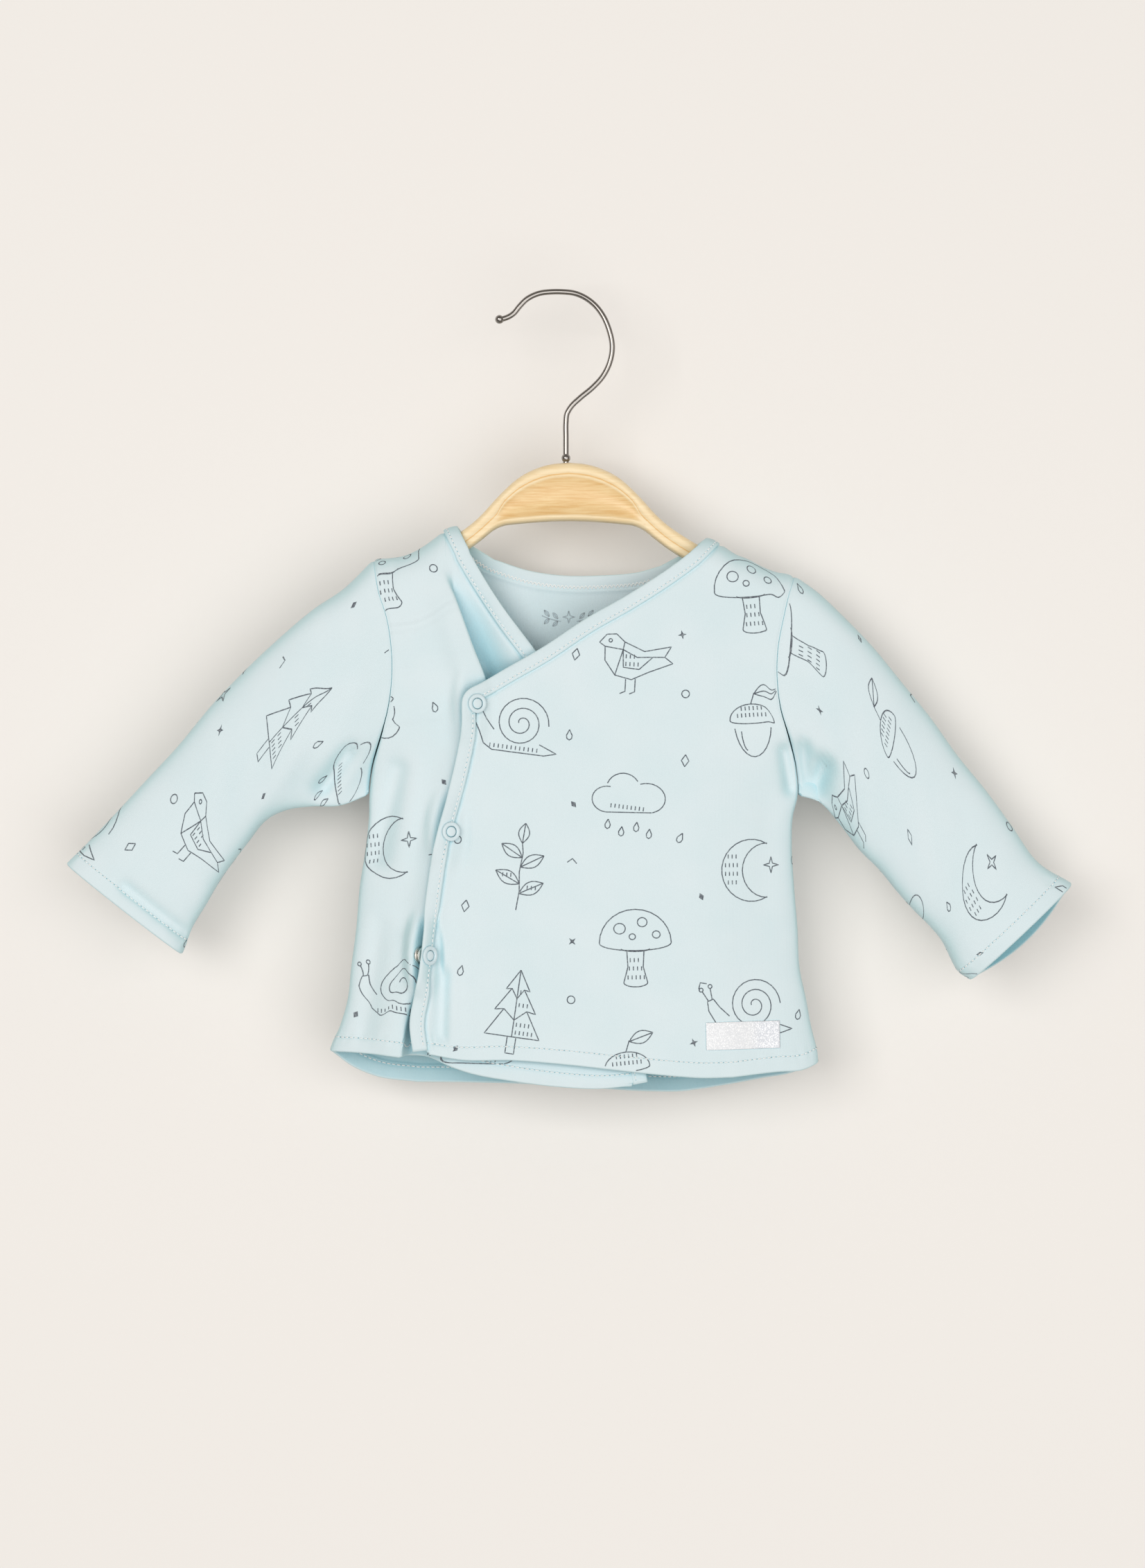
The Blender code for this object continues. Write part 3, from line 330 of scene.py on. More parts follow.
WIRE = 1.425                        # radius
BALL = 2.25                         # radius of the ball and of the collar
TIP = 0.05                          # radius that the ball starts with
BALL_LONG, COLLAR_LONG = 5.0, 4.0   # stretches of the wire with finer steps
WIRE_SIDES = 24
# The wire's centre line from the ball's tip to the foot: x and z
HOOK = (
    (-34.2, -12.4), (-32.0, -12.4), (-29.4, -11.9), (-26.6, -10.7), (-24.8, -9.4), (-21.9, -5.9),
    (-18.3, -2.3), (-12.0, 0.7), (-6.0, 1.5), (0.0, 1.5), (5.9, 0.8), (11.2, -1.4), (16.2, -5.2),
    (20.2, -10.4), (23.4, -17.8), (25.0, -26.7), (23.7, -34.2), (20.2, -41.2), (15.0, -46.9),
    (8.6, -52.2), (4.2, -56.5), (2.1, -60.2), (1.6, -64.5), (1.6, -72.0), (1.6, -82.5),
    (1.6, -96.0),
)


def chrome():
    paint = Paint("chrome", (0.32, 0.30, 0.28), 0.1, 1.0)
    wear = paint.noise(paint.place("object"), 900.0, 3.0)
    paint.set("Roughness", paint.ramp(wear, 0.3, 0.8, 0.07, 0.18))
    return paint.material


def make_hook():
    keys = run_of(HOOK)
    collar = keys[-2]
    at = np.concatenate((np.arange(0, BALL_LONG, 0.2), np.arange(BALL_LONG, collar - COLLAR_LONG),
                         np.arange(collar - COLLAR_LONG, collar + COLLAR_LONG, 0.25), keys[-1:]))
    route = along(keys, HOOK, at)
    ball, ring = (np.sqrt(np.maximum(BALL**2 - (at - middle)**2, 0.0)) for middle in (BALL, collar))
    radius = np.maximum(np.maximum(ball, ring), np.where(at < BALL, TIP, WIRE))
    run = unit(np.gradient(route, at, axis=0))
    turn = full_turn(WIRE_SIDES)
    out = np.stack((run[:, 1], np.zeros(len(run)), -run[:, 0]), axis=-1)
    rings = (np.stack((route[:, 0], np.zeros(len(route)), route[:, 1]), axis=-1)[:, None]
             + radius[:, None, None] * (np.cos(turn)[None, :, None] * out[:, None]
                                        + np.sin(turn)[None, :, None] * np.array((0.0, 1.0, 0.0))))
    obj = make_loft("hook_wire", rings, chrome())
    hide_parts("hook")


make_hook()

# ---- Back ----------------------------------------------------------------------------------------
# One piece of printed cotton jersey, with a turned hem below and the shoulder and side seams at
# its edges. First come the sizes of the whole garment's form, because every panel lies on it.

BINDING_WIDTH = 7.6
BINDING_THICK = 2.4
SIDE_STAND = 0.25                   # each panel's middle stands this far from the side seam plane
WRAP_LIFT = 3.2                     # outer front over inner front, middle to middle
WRAP_FROM, WRAP_OVER = 62.0, 46.0   # in x, where the lift starts to end, and over what width
SHOULDER_ROLL = 14.0                # how far below the shoulder line the cloth has turned flat
UNDERARM_OPENS = 38.0               # height over which the armhole opens to its full depth
ARMHOLE_STAND = 14.0                # half depth of the armhole
SIDE_POWER = 2.4                    # roundness of the body's section at its sides
PRESS_FADE = 8.0                    # creases fade out where the cloth is less deep than this
UNDERARM_Z = -253.0

# Heights: left edge, right edge, front depth, back depth. The edges are the armhole seams above the
# underarm and the side seams below it.
BODY_COLUMNS = ("z", "left", "right", "front", "back")
BODY = (
    (-405, -118.0, 129.5, 19.5, 17.0), (-381, -117.4, 128.2, 19.0, 16.5),
    (-369, -112.5, 125.4, 18.5, 16.0), (-355, -108.6, 122.8, 18.0, 15.5),
    (-341, -107.1, 119.8, 17.5, 15.0), (-320, -104.4, 118.6, 17.0, 14.8),
    (-299, -102.6, 116.9, 16.5, 14.4), (-278, -99.4, 115.7, 15.8, 14.0),
    (-264, -98.0, 116.2, 15.4, 13.8), (-253, -97.7, 118.6, 15.1, 13.6),
    (-238, -95.6, 117.3, 14.8, 13.3), (-222, -90.7, 112.8, 14.4, 13.0),
    (-210, -87.5, 109.2, 14.2, 12.8), (-199, -85.8, 107.5, 14.0, 12.5),
    (-180, -85.6, 107.5, 13.4, 12.0), (-163, -88.2, 110.6, 12.8, 11.5),
    (-151, -92.0, 113.5, 12.2, 11.0), (-142, -93.8, 116.6, 11.6, 10.6),
    (-134, -95.2, 118.0, 11.0, 10.2), (-118, -96.5, 120.0, 10.5, 10.0),
)
# Shoulder line from sleeve to sleeve; across the neck it only says where the cloth has turned flat
SHOULDER_LINE = (
    (-100, -138.6), (-95.2, -134.6), (-88, -133.6), (-81, -132.6), (-74, -129.8), (-67, -125.4),
    (-61, -120.9), (-57, -118.7), (-52, -117.8), (-40, -112), (-20, -100), (0, -95), (30, -98),
    (50, -112), (64, -121), (70, -123.2), (75, -124.6), (80, -127), (87, -131.4), (94, -134.2),
    (101, -137.8), (108, -140.4), (116.6, -142.4), (122, -146),
)
# Finished edges of the openings, x and z
OUTER_NECK = ((59.0, -134.6), (52.0, -139.6), (32.6, -152.1), (11.2, -164.3), (-10.9, -179.0),
              (-28.7, -189.2), (-41.7, -196.8), (-50.6, -202.2))
OUTER_FRONT = ((-50.6, -202.2), (-51.0, -221.4), (-53.0, -232.0), (-58.8, -256.0), (-63.5, -273.2),
               (-68.3, -301.9), (-71.6, -332.3), (-74.0, -351.0), (-76.6, -367.0), (-75.0, -381.0))
INNER_NECK = ((-46.6, -131.0), (-39.6, -143.0), (-29.4, -158.7), (-13.4, -180.4), (5.0, -206.5))
INNER_FRONT = ((5.0, -206.5), (13.0, -240.0), (23.0, -290.0), (33.0, -345.0), (42.6, -396.4))
BACK_NECK = ((50.0, -136.2), (39.8, -139.2), (18.4, -141.2), (0.5, -141.2), (-17.5, -138.6),
             (-35.4, -132.8))
# Where the binding's middle crosses the shoulder line, and where it lies flat again, in x
RIGHT_CROSSING = {"top": 75.5, "front": 64.5, "back": 62.0}
LEFT_CROSSING = {"top": -56.5, "front": -50.2, "back": -47.5}
BINDING_STEP = 1.7
CORNER_REACH, CORNER_STEPS = 3.6, 12
ROLL_ANGLES = np.linspace(84, 6, 14)        # stations where the strip climbs over the shoulder
CORNER_LEAN = 0.3
# Hems, left to right
OUTER_HEM = ((-66.0, -382.0), (-52.9, -384.3), (-25.2, -384.6), (2.8, -386.8), (30.6, -389.9),
             (52.9, -392.2), (70.0, -393.4), (85.0, -393.2), (108.9, -390.8), (120.0, -390.2),
             (128.6, -387.0))
INNER_HEM = ((-117.4, -381.0), (-106.4, -381.2), (-96.4, -381.8), (-82.3, -383.4), (-67.6, -383.8),
             (-56.4, -388.0), (-47.6, -391.0), (-25.2, -395.3), (-2.8, -398.1), (19.4, -399.2),
             (34.0, -397.9))
BACK_HEM = ((-117.4, -381.0), (-106.4, -389.6), (-95.0, -394.6), (-74.0, -397.8), (-46.0, -398.2),
            (-11.0, -399.5), (17.0, -401.3), (45.0, -402.8), (60.0, -402.8), (73.0, -401.0),
            (87.0, -398.5), (101.0, -395.7), (115.0, -393.0), (128.6, -387.0))

# The inner front's long tuck: height, fold edge, drop behind it, width of the turn, crest, rise
TUCK_COLUMNS = ("z", "edge", "drop", "turn", "crest", "rise")
TUCK = (
    (-400, -80.0, 14.0, 3.6, -86.0, 1.5), (-383, -79.5, 15.0, 3.6, -85.0, 2.0),
    (-362, -75.5, 14.0, 4.2, -81.0, 3.0), (-345, -68.5, 10.5, 5.5, -74.5, 4.0),
    (-325, -61.5, 7.5, 7.0, -70.0, 4.0), (-271, -49.5, 7.0, 7.0, -61.5, 3.0),
    (-240, -43.0, 7.0, 7.0, -53.5, 3.0), (-214, -37.6, 10.0, 5.0, -44.0, 3.4),
    (-204, -39.4, 13.0, 3.0, -43.6, 3.8), (-195, -42.0, 13.5, 2.6, -46.0, 3.8),
    (-178, -48.2, 12.5, 2.6, -52.0, 3.4), (-161, -53.2, 9.0, 3.0, -57.0, 2.6),
    (-148, -56.4, 4.5, 4.5, -60.6, 1.4), (-136, -58.6, 0.5, 9.0, -63.0, 0.3),
    (-118, -58.6, 0.0, 12.0, -63.0, 0.0),
)
TUCK_RETURN, TUCK_RETURN_OVER = 0.85, 24.0
TUCK_LEAN, LEAN_SPREAD = 2.6, 2.4   # how far its edge leans out over the drop, above the snap
LEAN_DROP = 10.0                    # the drop at which it leans in full
LEAN_SHIFT, LEAN_PINCH = 0.5, 2.33
LEAN_LOW, LEAN_HIGH, LEAN_FADE = -212.0, -140.0, 14.0
RIDGE_SPREAD, RIDGE_STEP, RIDGE_TOP, RIDGE_FADE = 8.0, 1.5, -190.0, 15.0

# Troughs (depth above 0) and ridges (below 0), each soft across and dying out along its length
CREASE_COLUMNS = ("piece", "x0", "z0", "x1", "z1", "depth", "spread")
CREASES = (
    ("front", -83.0, -240.0, -93.0, -283.0, 3.5, 6.0),
    ("front", 111.5, -231.0, 114.5, -249.0, 4.0, 4.0),
    ("front", -59.5, -344.0, -60.5, -372.0, 3.0, 5.0),
    ("front", -76.0, -238.0, -82.0, -290.0, -1.1, 6.0),
    ("front", -55.5, -338.0, -56.0, -372.0, -1.3, 3.6),
    ("front", -49.0, -350.0, -48.0, -372.0, 0.8, 5.0),
    ("front", -85.4, -137.0, -86.4, -152.0, 1.2, 2.6),
    ("front", -30.0, -255.0, -6.0, -296.0, 0.9, 9.0),
    ("front", 104.0, -256.0, 99.0, -305.0, 0.6, 7.0),
    ("front", -92.0, -318.0, -100.0, -372.0, 1.4, 5.0),
    ("front", -84.0, -330.0, -91.0, -376.0, -0.9, 5.0),
    ("front", 30.0, -300.0, 44.0, -386.0, 0.7, 13.0),
    ("front", 76.0, -330.0, 84.0, -390.0, -0.7, 12.0),
    ("back", -40.0, -190.0, -52.0, -300.0, 1.8, 11.0),
    ("back", -18.0, -230.0, -22.0, -385.0, -1.0, 12.0),
    ("back", 22.0, -200.0, 30.0, -320.0, 1.6, 12.0),
    ("back", 62.0, -180.0, 80.0, -280.0, 1.9, 10.0),
    ("back", 52.0, -310.0, 58.0, -398.0, -0.9, 13.0),
    ("back", -88.0, -236.0, -78.0, -290.0, 2.6, 6.0),
    ("back", 108.0, -232.0, 98.0, -288.0, 2.6, 6.0),
    ("right_sleeve", -108.0, -231.0, -121.0, -249.0, 6.0, 5.0),
    ("right_sleeve", -220.0, -299.0, -191.0, -322.0, 3.5, 4.0),
    ("right_sleeve", -104.0, -198.0, -130.0, -246.0, 1.4, 8.0),
    ("right_sleeve", -132.0, -226.0, -150.0, -256.0, -1.0, 6.0),
    ("right_sleeve", -150.0, -232.0, -176.0, -270.0, 1.0, 8.0),
    ("right_sleeve_back", -106.0, -205.0, -140.0, -252.0, 3.5, 7.0),
    ("right_sleeve_back", -128.0, -190.0, -168.0, -256.0, 2.0, 8.0),
    ("right_sleeve_back", -190.0, -250.0, -204.0, -290.0, 1.6, 8.0),
    ("left_sleeve", 126.0, -196.0, 146.0, -248.0, 1.4, 8.0),
    ("left_sleeve", 152.0, -226.0, 166.0, -270.0, 0.9, 8.0),
    ("left_sleeve", 200.0, -262.0, 206.0, -300.0, 0.9, 7.0),
    ("left_sleeve_back", 124.0, -205.0, 152.0, -256.0, 3.5, 7.0),
    ("left_sleeve_back", 148.0, -192.0, 186.0, -262.0, 2.0, 8.0),
    ("left_sleeve_back", 212.0, -258.0, 222.0, -300.0, 1.6, 8.0),
    ("left_sleeve", 132.0, -238.0, 126.0, -252.0, 7.0, 5.0),
    ("left_sleeve", 121.5, -228.0, 122.5, -247.0, 3.5, 3.5),
)
SNAP_COLUMNS = ("name", "x", "z", "turn")
SNAPS = (("top", -43.3, -206.9, 24.0), ("middle", -56.4, -270.9, 24.0),
         ("bottom", -67.4, -332.8, 46.0))
SNAP_FLAT, SNAP_BLEND = 6.5, 13.0   # cloth is flat this far round a snap, and free from here
UNDER_FLAT, UNDER_BLEND = 5.0, 12.5 # the same for the under front
SNAP_DRAWS = 0.5                    # this much less up and down than sideways
SNAP_STACK, SNAP_LIFT, SNAP_ROOM = 5.8, 1.2, 0.35

EDGE_BY_HEIGHT = (np.array([-400.0] + [z for x, z in OUTER_FRONT[::-1]]),
                  np.array([-74.0] + [x for x, z in OUTER_FRONT[::-1]]))


def body_at(name, z):
    return column(BODY, BODY_COLUMNS, name, z)


def tuck_at(name, z):
    return column(TUCK, TUCK_COLUMNS, name, z)


def shoulder_z(x):
    return column(SHOULDER_LINE, ("x", "z"), "z", x)


def round_over(drop, reach):
    """Quarter round: 0 at an edge, 1 once the cloth has turned flat."""
    t = np.clip(np.asarray(drop, float) / reach, 0.0, 1.0)
    return np.sqrt(1 - (1 - t)**2)


def body_depth(x, z, side):
    """Half depth of the body at x, z, on its 'front' or 'back', before any crease."""
    left, right, belly = (body_at(name, z) for name in ("left", "right", side))
    across = np.clip(np.abs(2 * (x - left) / (right - left) - 1), 0.0, 1.0)
    full = (1 - across**SIDE_POWER)**(1 / SIDE_POWER)
    stand = np.minimum(ARMHOLE_STAND * ease((z - UNDERARM_Z) / UNDERARM_OPENS), belly)
    return stand + (belly - stand) * full


def pressed(piece, x, z):
    """How deep a piece's creases press its cloth in at x, z."""
    total = np.zeros(np.broadcast(x, z).shape)
    for row in CREASES:
        crease = dict(zip(CREASE_COLUMNS, row))
        if crease["piece"] != piece:
            continue
        run_x, run_z = crease["x1"] - crease["x0"], crease["z1"] - crease["z0"]
        length = math.hypot(run_x, run_z)
        t = np.clip(((x - crease["x0"]) * run_x + (z - crease["z0"]) * run_z) / length**2, 0, 1)
        away = np.hypot(x - crease["x0"] - t * run_x, z - crease["z0"] - t * run_z)
        total = total + crease["depth"] * np.exp(-(away / crease["spread"])**2)
    return total


def tuck(x, z):
    """The inner front's tuck: how far it drops behind its fold edge, less the ridge before it."""
    edge, drop, turn, crest, rise = (tuck_at(name, z) for name in TUCK_COLUMNS[1:])
    back_up = TUCK_RETURN * ease((x - edge - turn / 2) / TUCK_RETURN_OVER)
    behind = drop * ease((x - edge) / turn + 0.5) * (1 - back_up)
    return behind - rise * np.exp(-((x - crest) / RIDGE_SPREAD)**2)


def outer_ridge(x, z):
    """The outer front's edge stands up in a ridge that follows the tuck below it."""
    edge = along(*EDGE_BY_HEIGHT, z)
    rise = tuck_at("rise", z) * ease((RIDGE_TOP - z) / RIDGE_FADE)
    return rise * np.exp(-((x - edge - RIDGE_STEP) / RIDGE_SPREAD)**2)


def plain_height(panel, x, z):
    """Distance of a panel's middle from the plane of the side seams, before the snaps."""
    side = "back" if panel == "back" else "front"
    depth = body_depth(x, z, side)
    depth = depth - pressed(side, x, z) * round_over(depth, PRESS_FADE)
    if panel == "inner":
        depth = depth - tuck(x, z)
    if panel == "outer":
        depth = depth + WRAP_LIFT * (1 - ease((x - WRAP_FROM) / WRAP_OVER)) + outer_ridge(x, z)
    return SIDE_STAND + depth * round_over(shoulder_z(x) - z, SHOULDER_ROLL)


def snap_height(snap):
    """Height of the outer front's middle at a snap."""
    return float(plain_height("outer", snap["x"], snap["z"])) + SNAP_LIFT


def height(panel, x, z):
    """As plain_height, but flat and turned round each snap, where it clamps the cloth."""
    x, z = np.asarray(x, float), np.asarray(z, float)
    result = plain_height(panel, x, z)
    if panel == "back":
        return result
    for row in SNAPS:
        snap = dict(zip(SNAP_COLUMNS, row))
        turn = math.radians(snap["turn"])
        below = SNAP_STACK if panel == "inner" else 0.0
        centre_x = snap["x"] - below * math.sin(turn)
        middle = snap_height(snap) - below * math.cos(turn)
        away = np.hypot((x - centre_x) / math.cos(turn), SNAP_DRAWS * (z - snap["z"]))
        flat, free = (UNDER_FLAT, UNDER_BLEND) if panel == "inner" else (SNAP_FLAT, SNAP_BLEND)
        hold = 1 - ease((away - flat) / (free - flat))
        result = result + (middle - math.tan(turn) * (x - centre_x) - result) * hold
    return result


def on_panel(panel, x, z):
    """Point of a panel's middle surface."""
    sign = 1.0 if panel == "back" else -1.0
    return np.stack(np.broadcast_arrays(x, sign * height(panel, x, z), z), axis=-1)


def outward(panel, x, z, step=0.15):
    """Unit normals of a panel's middle surface."""
    sign = 1.0 if panel == "back" else -1.0
    slope_x = (height(panel, x + step, z) - height(panel, x - step, z)) / (2 * step)
    slope_z = (height(panel, x, z + step) - height(panel, x, z - step)) / (2 * step)
    normal = np.stack(np.broadcast_arrays(-slope_x, sign, -slope_z), axis=-1)
    return normal / np.linalg.norm(normal, axis=-1)[..., None]


# Lines in front view, each read from 0 to 1, and the fields that they bound

ARMHOLE_SHARE = 0.46                        # of a panel's rows that lie above the underarm
LEFT_TIP, RIGHT_TIP = -95.2, 118.0          # x of the shoulders' ends
LEFT_WAIST, RIGHT_WAIST = (-62.0, -250.0), (79.0, -250.0)
INNER_FOLD = 3                              # rows of the hems' tables where a panel's fields part
BACK_LEFT, BACK_RIGHT, OUTER_RIGHT = 3, 9, 7
TUCKED_UNDER = 1.3                          # how far a panel's raw edge runs on into the binding


def line_through(points):
    points = np.asarray(points, float)
    steps = np.linalg.norm(np.diff(points, axis=0), axis=1)
    keys = np.concatenate(([0.0], np.cumsum(steps))) / steps.sum()
    return lambda at: along(keys, points, at)


def joined(first, second, share):
    """Two lines end to end: the first takes the given share of 0 to 1."""
    def read(at):
        at = np.asarray(at, float)
        near = first(np.clip(at / share, 0, 1))
        far = second(np.clip((at - share) / (1 - share), 0, 1))
        return np.where((at < share)[..., None], near, far)
    return read


def armhole(side, top, low):
    def read(at):
        z = top + np.asarray(at, float) * (low - top)
        return np.stack((body_at(side, z), z), axis=-1)
    return read


def body_side(side, top, low):
    """Armhole, then side seam, down to the hem's corner."""
    return joined(armhole(side, top, UNDERARM_Z), armhole(side, UNDERARM_Z, low), ARMHOLE_SHARE)


def shoulder(x_from, x_to):
    def read(at):
        x = x_from + np.asarray(at, float) * (x_to - x_from)
        return np.stack((x, shoulder_z(x)), axis=-1)
    return read


def patch(edges, across, down):
    """Points in front view between four edges."""
    top, bottom, left, right = edges
    u, v = np.meshgrid(across, down)
    a, b = u[..., None], v[..., None]
    corners = ((1 - a) * (1 - b) * top(0.0) + a * (1 - b) * top(1.0)
               + (1 - a) * b * bottom(0.0) + a * b * bottom(1.0))
    return (1 - b) * top(u) + b * bottom(u) + (1 - a) * left(v) + a * right(v) - corners


def even(count):
    return np.linspace(0, 1, count)


def close_at_start(count):
    return 1 - np.cos(math.pi / 2 * even(count))


def close_at_end(count):
    return np.sin(math.pi / 2 * even(count))


def close_at_both(count):
    return (1 - np.cos(math.pi * even(count))) / 2


# The binding's stations, because every neck and front edge is cut along its seam

def inset(points, distance):
    """A row of points moved to its left-hand side, which is the cloth's side of an edge."""
    points = np.asarray(points, float)
    run = unit(np.gradient(points, axis=0))
    return points + distance * np.stack((-run[:, 1], run[:, 0]), axis=1)


def corner(before, at, after):
    """A round turn from one straight edge into the next."""
    start, end = (at + unit(np.subtract(far, at)) * CORNER_REACH for far in (before, after))
    at = np.array(at)
    t = np.linspace(0, 1, CORNER_STEPS + 1)[:, None]
    return (1 - t)**2 * start + 2 * t * (1 - t) * at + t**2 * end


def spaced(points, distance):
    points = np.asarray(points, float)
    length = np.linalg.norm(np.diff(points, axis=0), axis=1).sum()
    return line_through(points)(even(max(2, round(length / distance) + 1)))


def roll_stations(panel, crossing, angles):
    """Stations where the strip climbs over the shoulder line: 90 is flat, 0 is on the line."""
    stations = []
    side = "back" if panel == "back" else "front"
    sign = 1.0 if panel == "back" else -1.0
    for angle in angles:
        rise, lean = math.cos(math.radians(angle)), math.sin(math.radians(angle))
        x = crossing["top"] + (crossing[side] - crossing["top"]) * (1 - rise)
        z = float(shoulder_z(x)) - SHOULDER_ROLL * (1 - rise)
        slope = float(shoulder_z(x + 1) - shoulder_z(x - 1)) / 2
        full = max(float(body_depth(x, z, side)), 1.0)
        normal = np.array((-slope * rise / SHOULDER_ROLL, sign * lean / full,
                           rise / SHOULDER_ROLL))
        y = sign * float(height(panel, x, z)) if angle else 0.0
        stations.append(((x, y, z), normal / np.linalg.norm(normal)))
    return stations


def flat_stations(panel, points):
    points = np.asarray(points, float)
    return list(zip(on_panel(panel, points[:, 0], points[:, 1]),
                    outward(panel, points[:, 0], points[:, 1])))


def binding_stations():
    """Centre and normal of the strip at each station, and where its stretches begin."""
    half = BINDING_WIDTH / 2
    neck = inset(OUTER_NECK, half)[::-1][1:]
    front = inset(OUTER_FRONT, half)[1:]
    meet = (float(front[0][0]) + CORNER_LEAN, float(neck[0][1]) - CORNER_REACH)
    turn = corner(front[0], meet, neck[0])
    inner_neck = inset(INNER_NECK, -half)
    inner_front = inset(INNER_FRONT, -half)[1:]
    stretches = [
        flat_stations("outer", spaced(np.vstack((front[::-1], turn[:1])), BINDING_STEP)[:-1]),
        flat_stations("outer", turn),
        flat_stations("outer", spaced(np.vstack((turn[-1:], neck)), BINDING_STEP)[1:]),
        roll_stations("outer", RIGHT_CROSSING, ROLL_ANGLES),
        roll_stations("outer", RIGHT_CROSSING, (0,)),
        roll_stations("back", RIGHT_CROSSING, ROLL_ANGLES[::-1]),
        flat_stations("back", spaced(inset(BACK_NECK, half), BINDING_STEP)),
        roll_stations("back", LEFT_CROSSING, ROLL_ANGLES),
        roll_stations("back", LEFT_CROSSING, (0,)),
        roll_stations("inner", LEFT_CROSSING, ROLL_ANGLES[::-1]),
        flat_stations("inner", spaced(inner_neck, BINDING_STEP)[:-1]),
        flat_stations("inner", spaced(np.vstack((inner_neck[-1:], inner_front)), BINDING_STEP)),
    ]
    begins = np.cumsum([0] + [len(stretch) for stretch in stretches])
    stations = [station for stretch in stretches for station in stretch]
    return (np.array([centre for centre, normal in stations]),
            np.array([normal for centre, normal in stations]), begins)


def strip_frames(centres, normals):
    """Unit vectors across the strip, towards the cloth, and square to the strip."""
    run = unit(np.gradient(centres, axis=0))
    across = unit(np.cross(run, normals))
    return across, np.cross(across, run)


def smoothed(rows, passes):
    """Rows of vectors, each pass averaged with their neighbours."""
    rows = np.array(rows)
    for _ in range(passes):
        rows[1:-1] = (rows[:-2] + 2 * rows[1:-1] + rows[2:]) / 4
    return rows


strip_centres, strip_normals, strip_begins = binding_stations()
strip_normals = smoothed(strip_normals, 4)
strip_across, strip_up = strip_frames(strip_centres, strip_normals)
strip_across = smoothed(strip_across, 2)
seam_line = (strip_centres + strip_across * (BINDING_WIDTH / 2 - TUCKED_UNDER))[:, [0, 2]]
right_top, left_top = strip_begins[4], strip_begins[8]
outer_corner, inner_corner = strip_begins[2] - CORNER_STEPS // 2, strip_begins[11]
left_neck = np.array((seam_line[left_top][0], shoulder_z(seam_line[left_top][0])))
right_neck = np.array((seam_line[right_top][0], shoulder_z(seam_line[right_top][0])))
left_side = body_side("left", float(shoulder_z(LEFT_TIP)), INNER_HEM[0][1])
right_side = body_side("right", float(shoulder_z(RIGHT_TIP)), OUTER_HEM[-1][1])

# Cloth shells

SKIN = 0.45                 # half the jersey's thickness
HEM_DEEP = 8.2              # height of the turned hems
HEM_TURNED = 0.75           # what the turned edge adds inside
HEM_STITCH = 6.9            # its stitching lies this far above the edge
HEM_EDGE = 0.8              # height over which the turned edge ends
HEM_SPREAD = 0.15           # what it adds outside
HEM_DRAWN, HEM_PUCKER = 0.3, 0.09
DRAWN_WIDE, PUCKER_WIDE = 0.8, 4.5
SIDE_SHARE = 0.7            # how much less the side and sleeve seams are drawn in than the neck's
FLAT_UNIT = 600.0           # the flat map's side
FLAT_MIDDLE = (0.0, -270.0)
PANEL_TOP, PANEL_LOW = 0.05, 0.95           # shares of a panel with closer rows, past these
ROWS_TOP, ROWS_DOWN, ROWS_LOW = 14, 120, 24


def normals_of(points):
    """Unit normals of a grid of points."""
    down, across = np.gradient(points, axis=0), np.gradient(points, axis=1)
    return unit(np.cross(down, across))


def flat_map(points):
    """Each point's width and height on the cloth laid flat, by its run along rows and columns."""
    rows, cols = points.shape[:2]
    mid_row, mid_col = rows // 2, cols // 2
    step = np.diff(points, axis=1)
    run = np.concatenate((np.zeros((rows, 1)), np.cumsum(np.hypot(step[..., 0], step[..., 1])
                                                         * np.sign(step[..., 0]), axis=1)), axis=1)
    wide = points[:, mid_col:mid_col + 1, 0] + run - run[:, mid_col:mid_col + 1]
    fall = np.diff(points, axis=0)
    drop = np.concatenate((np.zeros((1, cols)), np.cumsum(np.hypot(fall[..., 2], fall[..., 1])
                                                          * np.sign(fall[..., 2]), axis=0)))
    tall = points[mid_row:mid_row + 1, :, 2] + drop - drop[mid_row:mid_row + 1]
    return np.stack((wide, tall), axis=-1)


SEAM_DEEP, SEAM_WIDE = 0.8, 0.9     # how far seams are drawn in, and over what width
BINDING_CREASE = 0.3                # the cloth is drawn in this far from the binding


def seam_dip(away):
    return SEAM_DEEP * np.exp(-(away / SEAM_WIDE)**2)


def from_line(points, line):
    """Distance of grid points from a row of points, in front view."""
    line = spaced(line, 0.5)
    return np.array([np.hypot(*(line - point).T).min()
                     for point in points[..., [0, 2]].reshape(-1, 2)]).reshape(points.shape[:2])


RIM = ((0.55, 0.72), (0.9, 0.0), (0.55, -0.72))     # its rounding: out to the side, and up
INSIDE_SHADE_TOP, INSIDE_SHADE_GAIN = 0.15, 1.2             # painted shade on the inside: its share above, and what it gains going down
CUFF_SHADE = 2.2                                    # so much more in the narrow sleeves


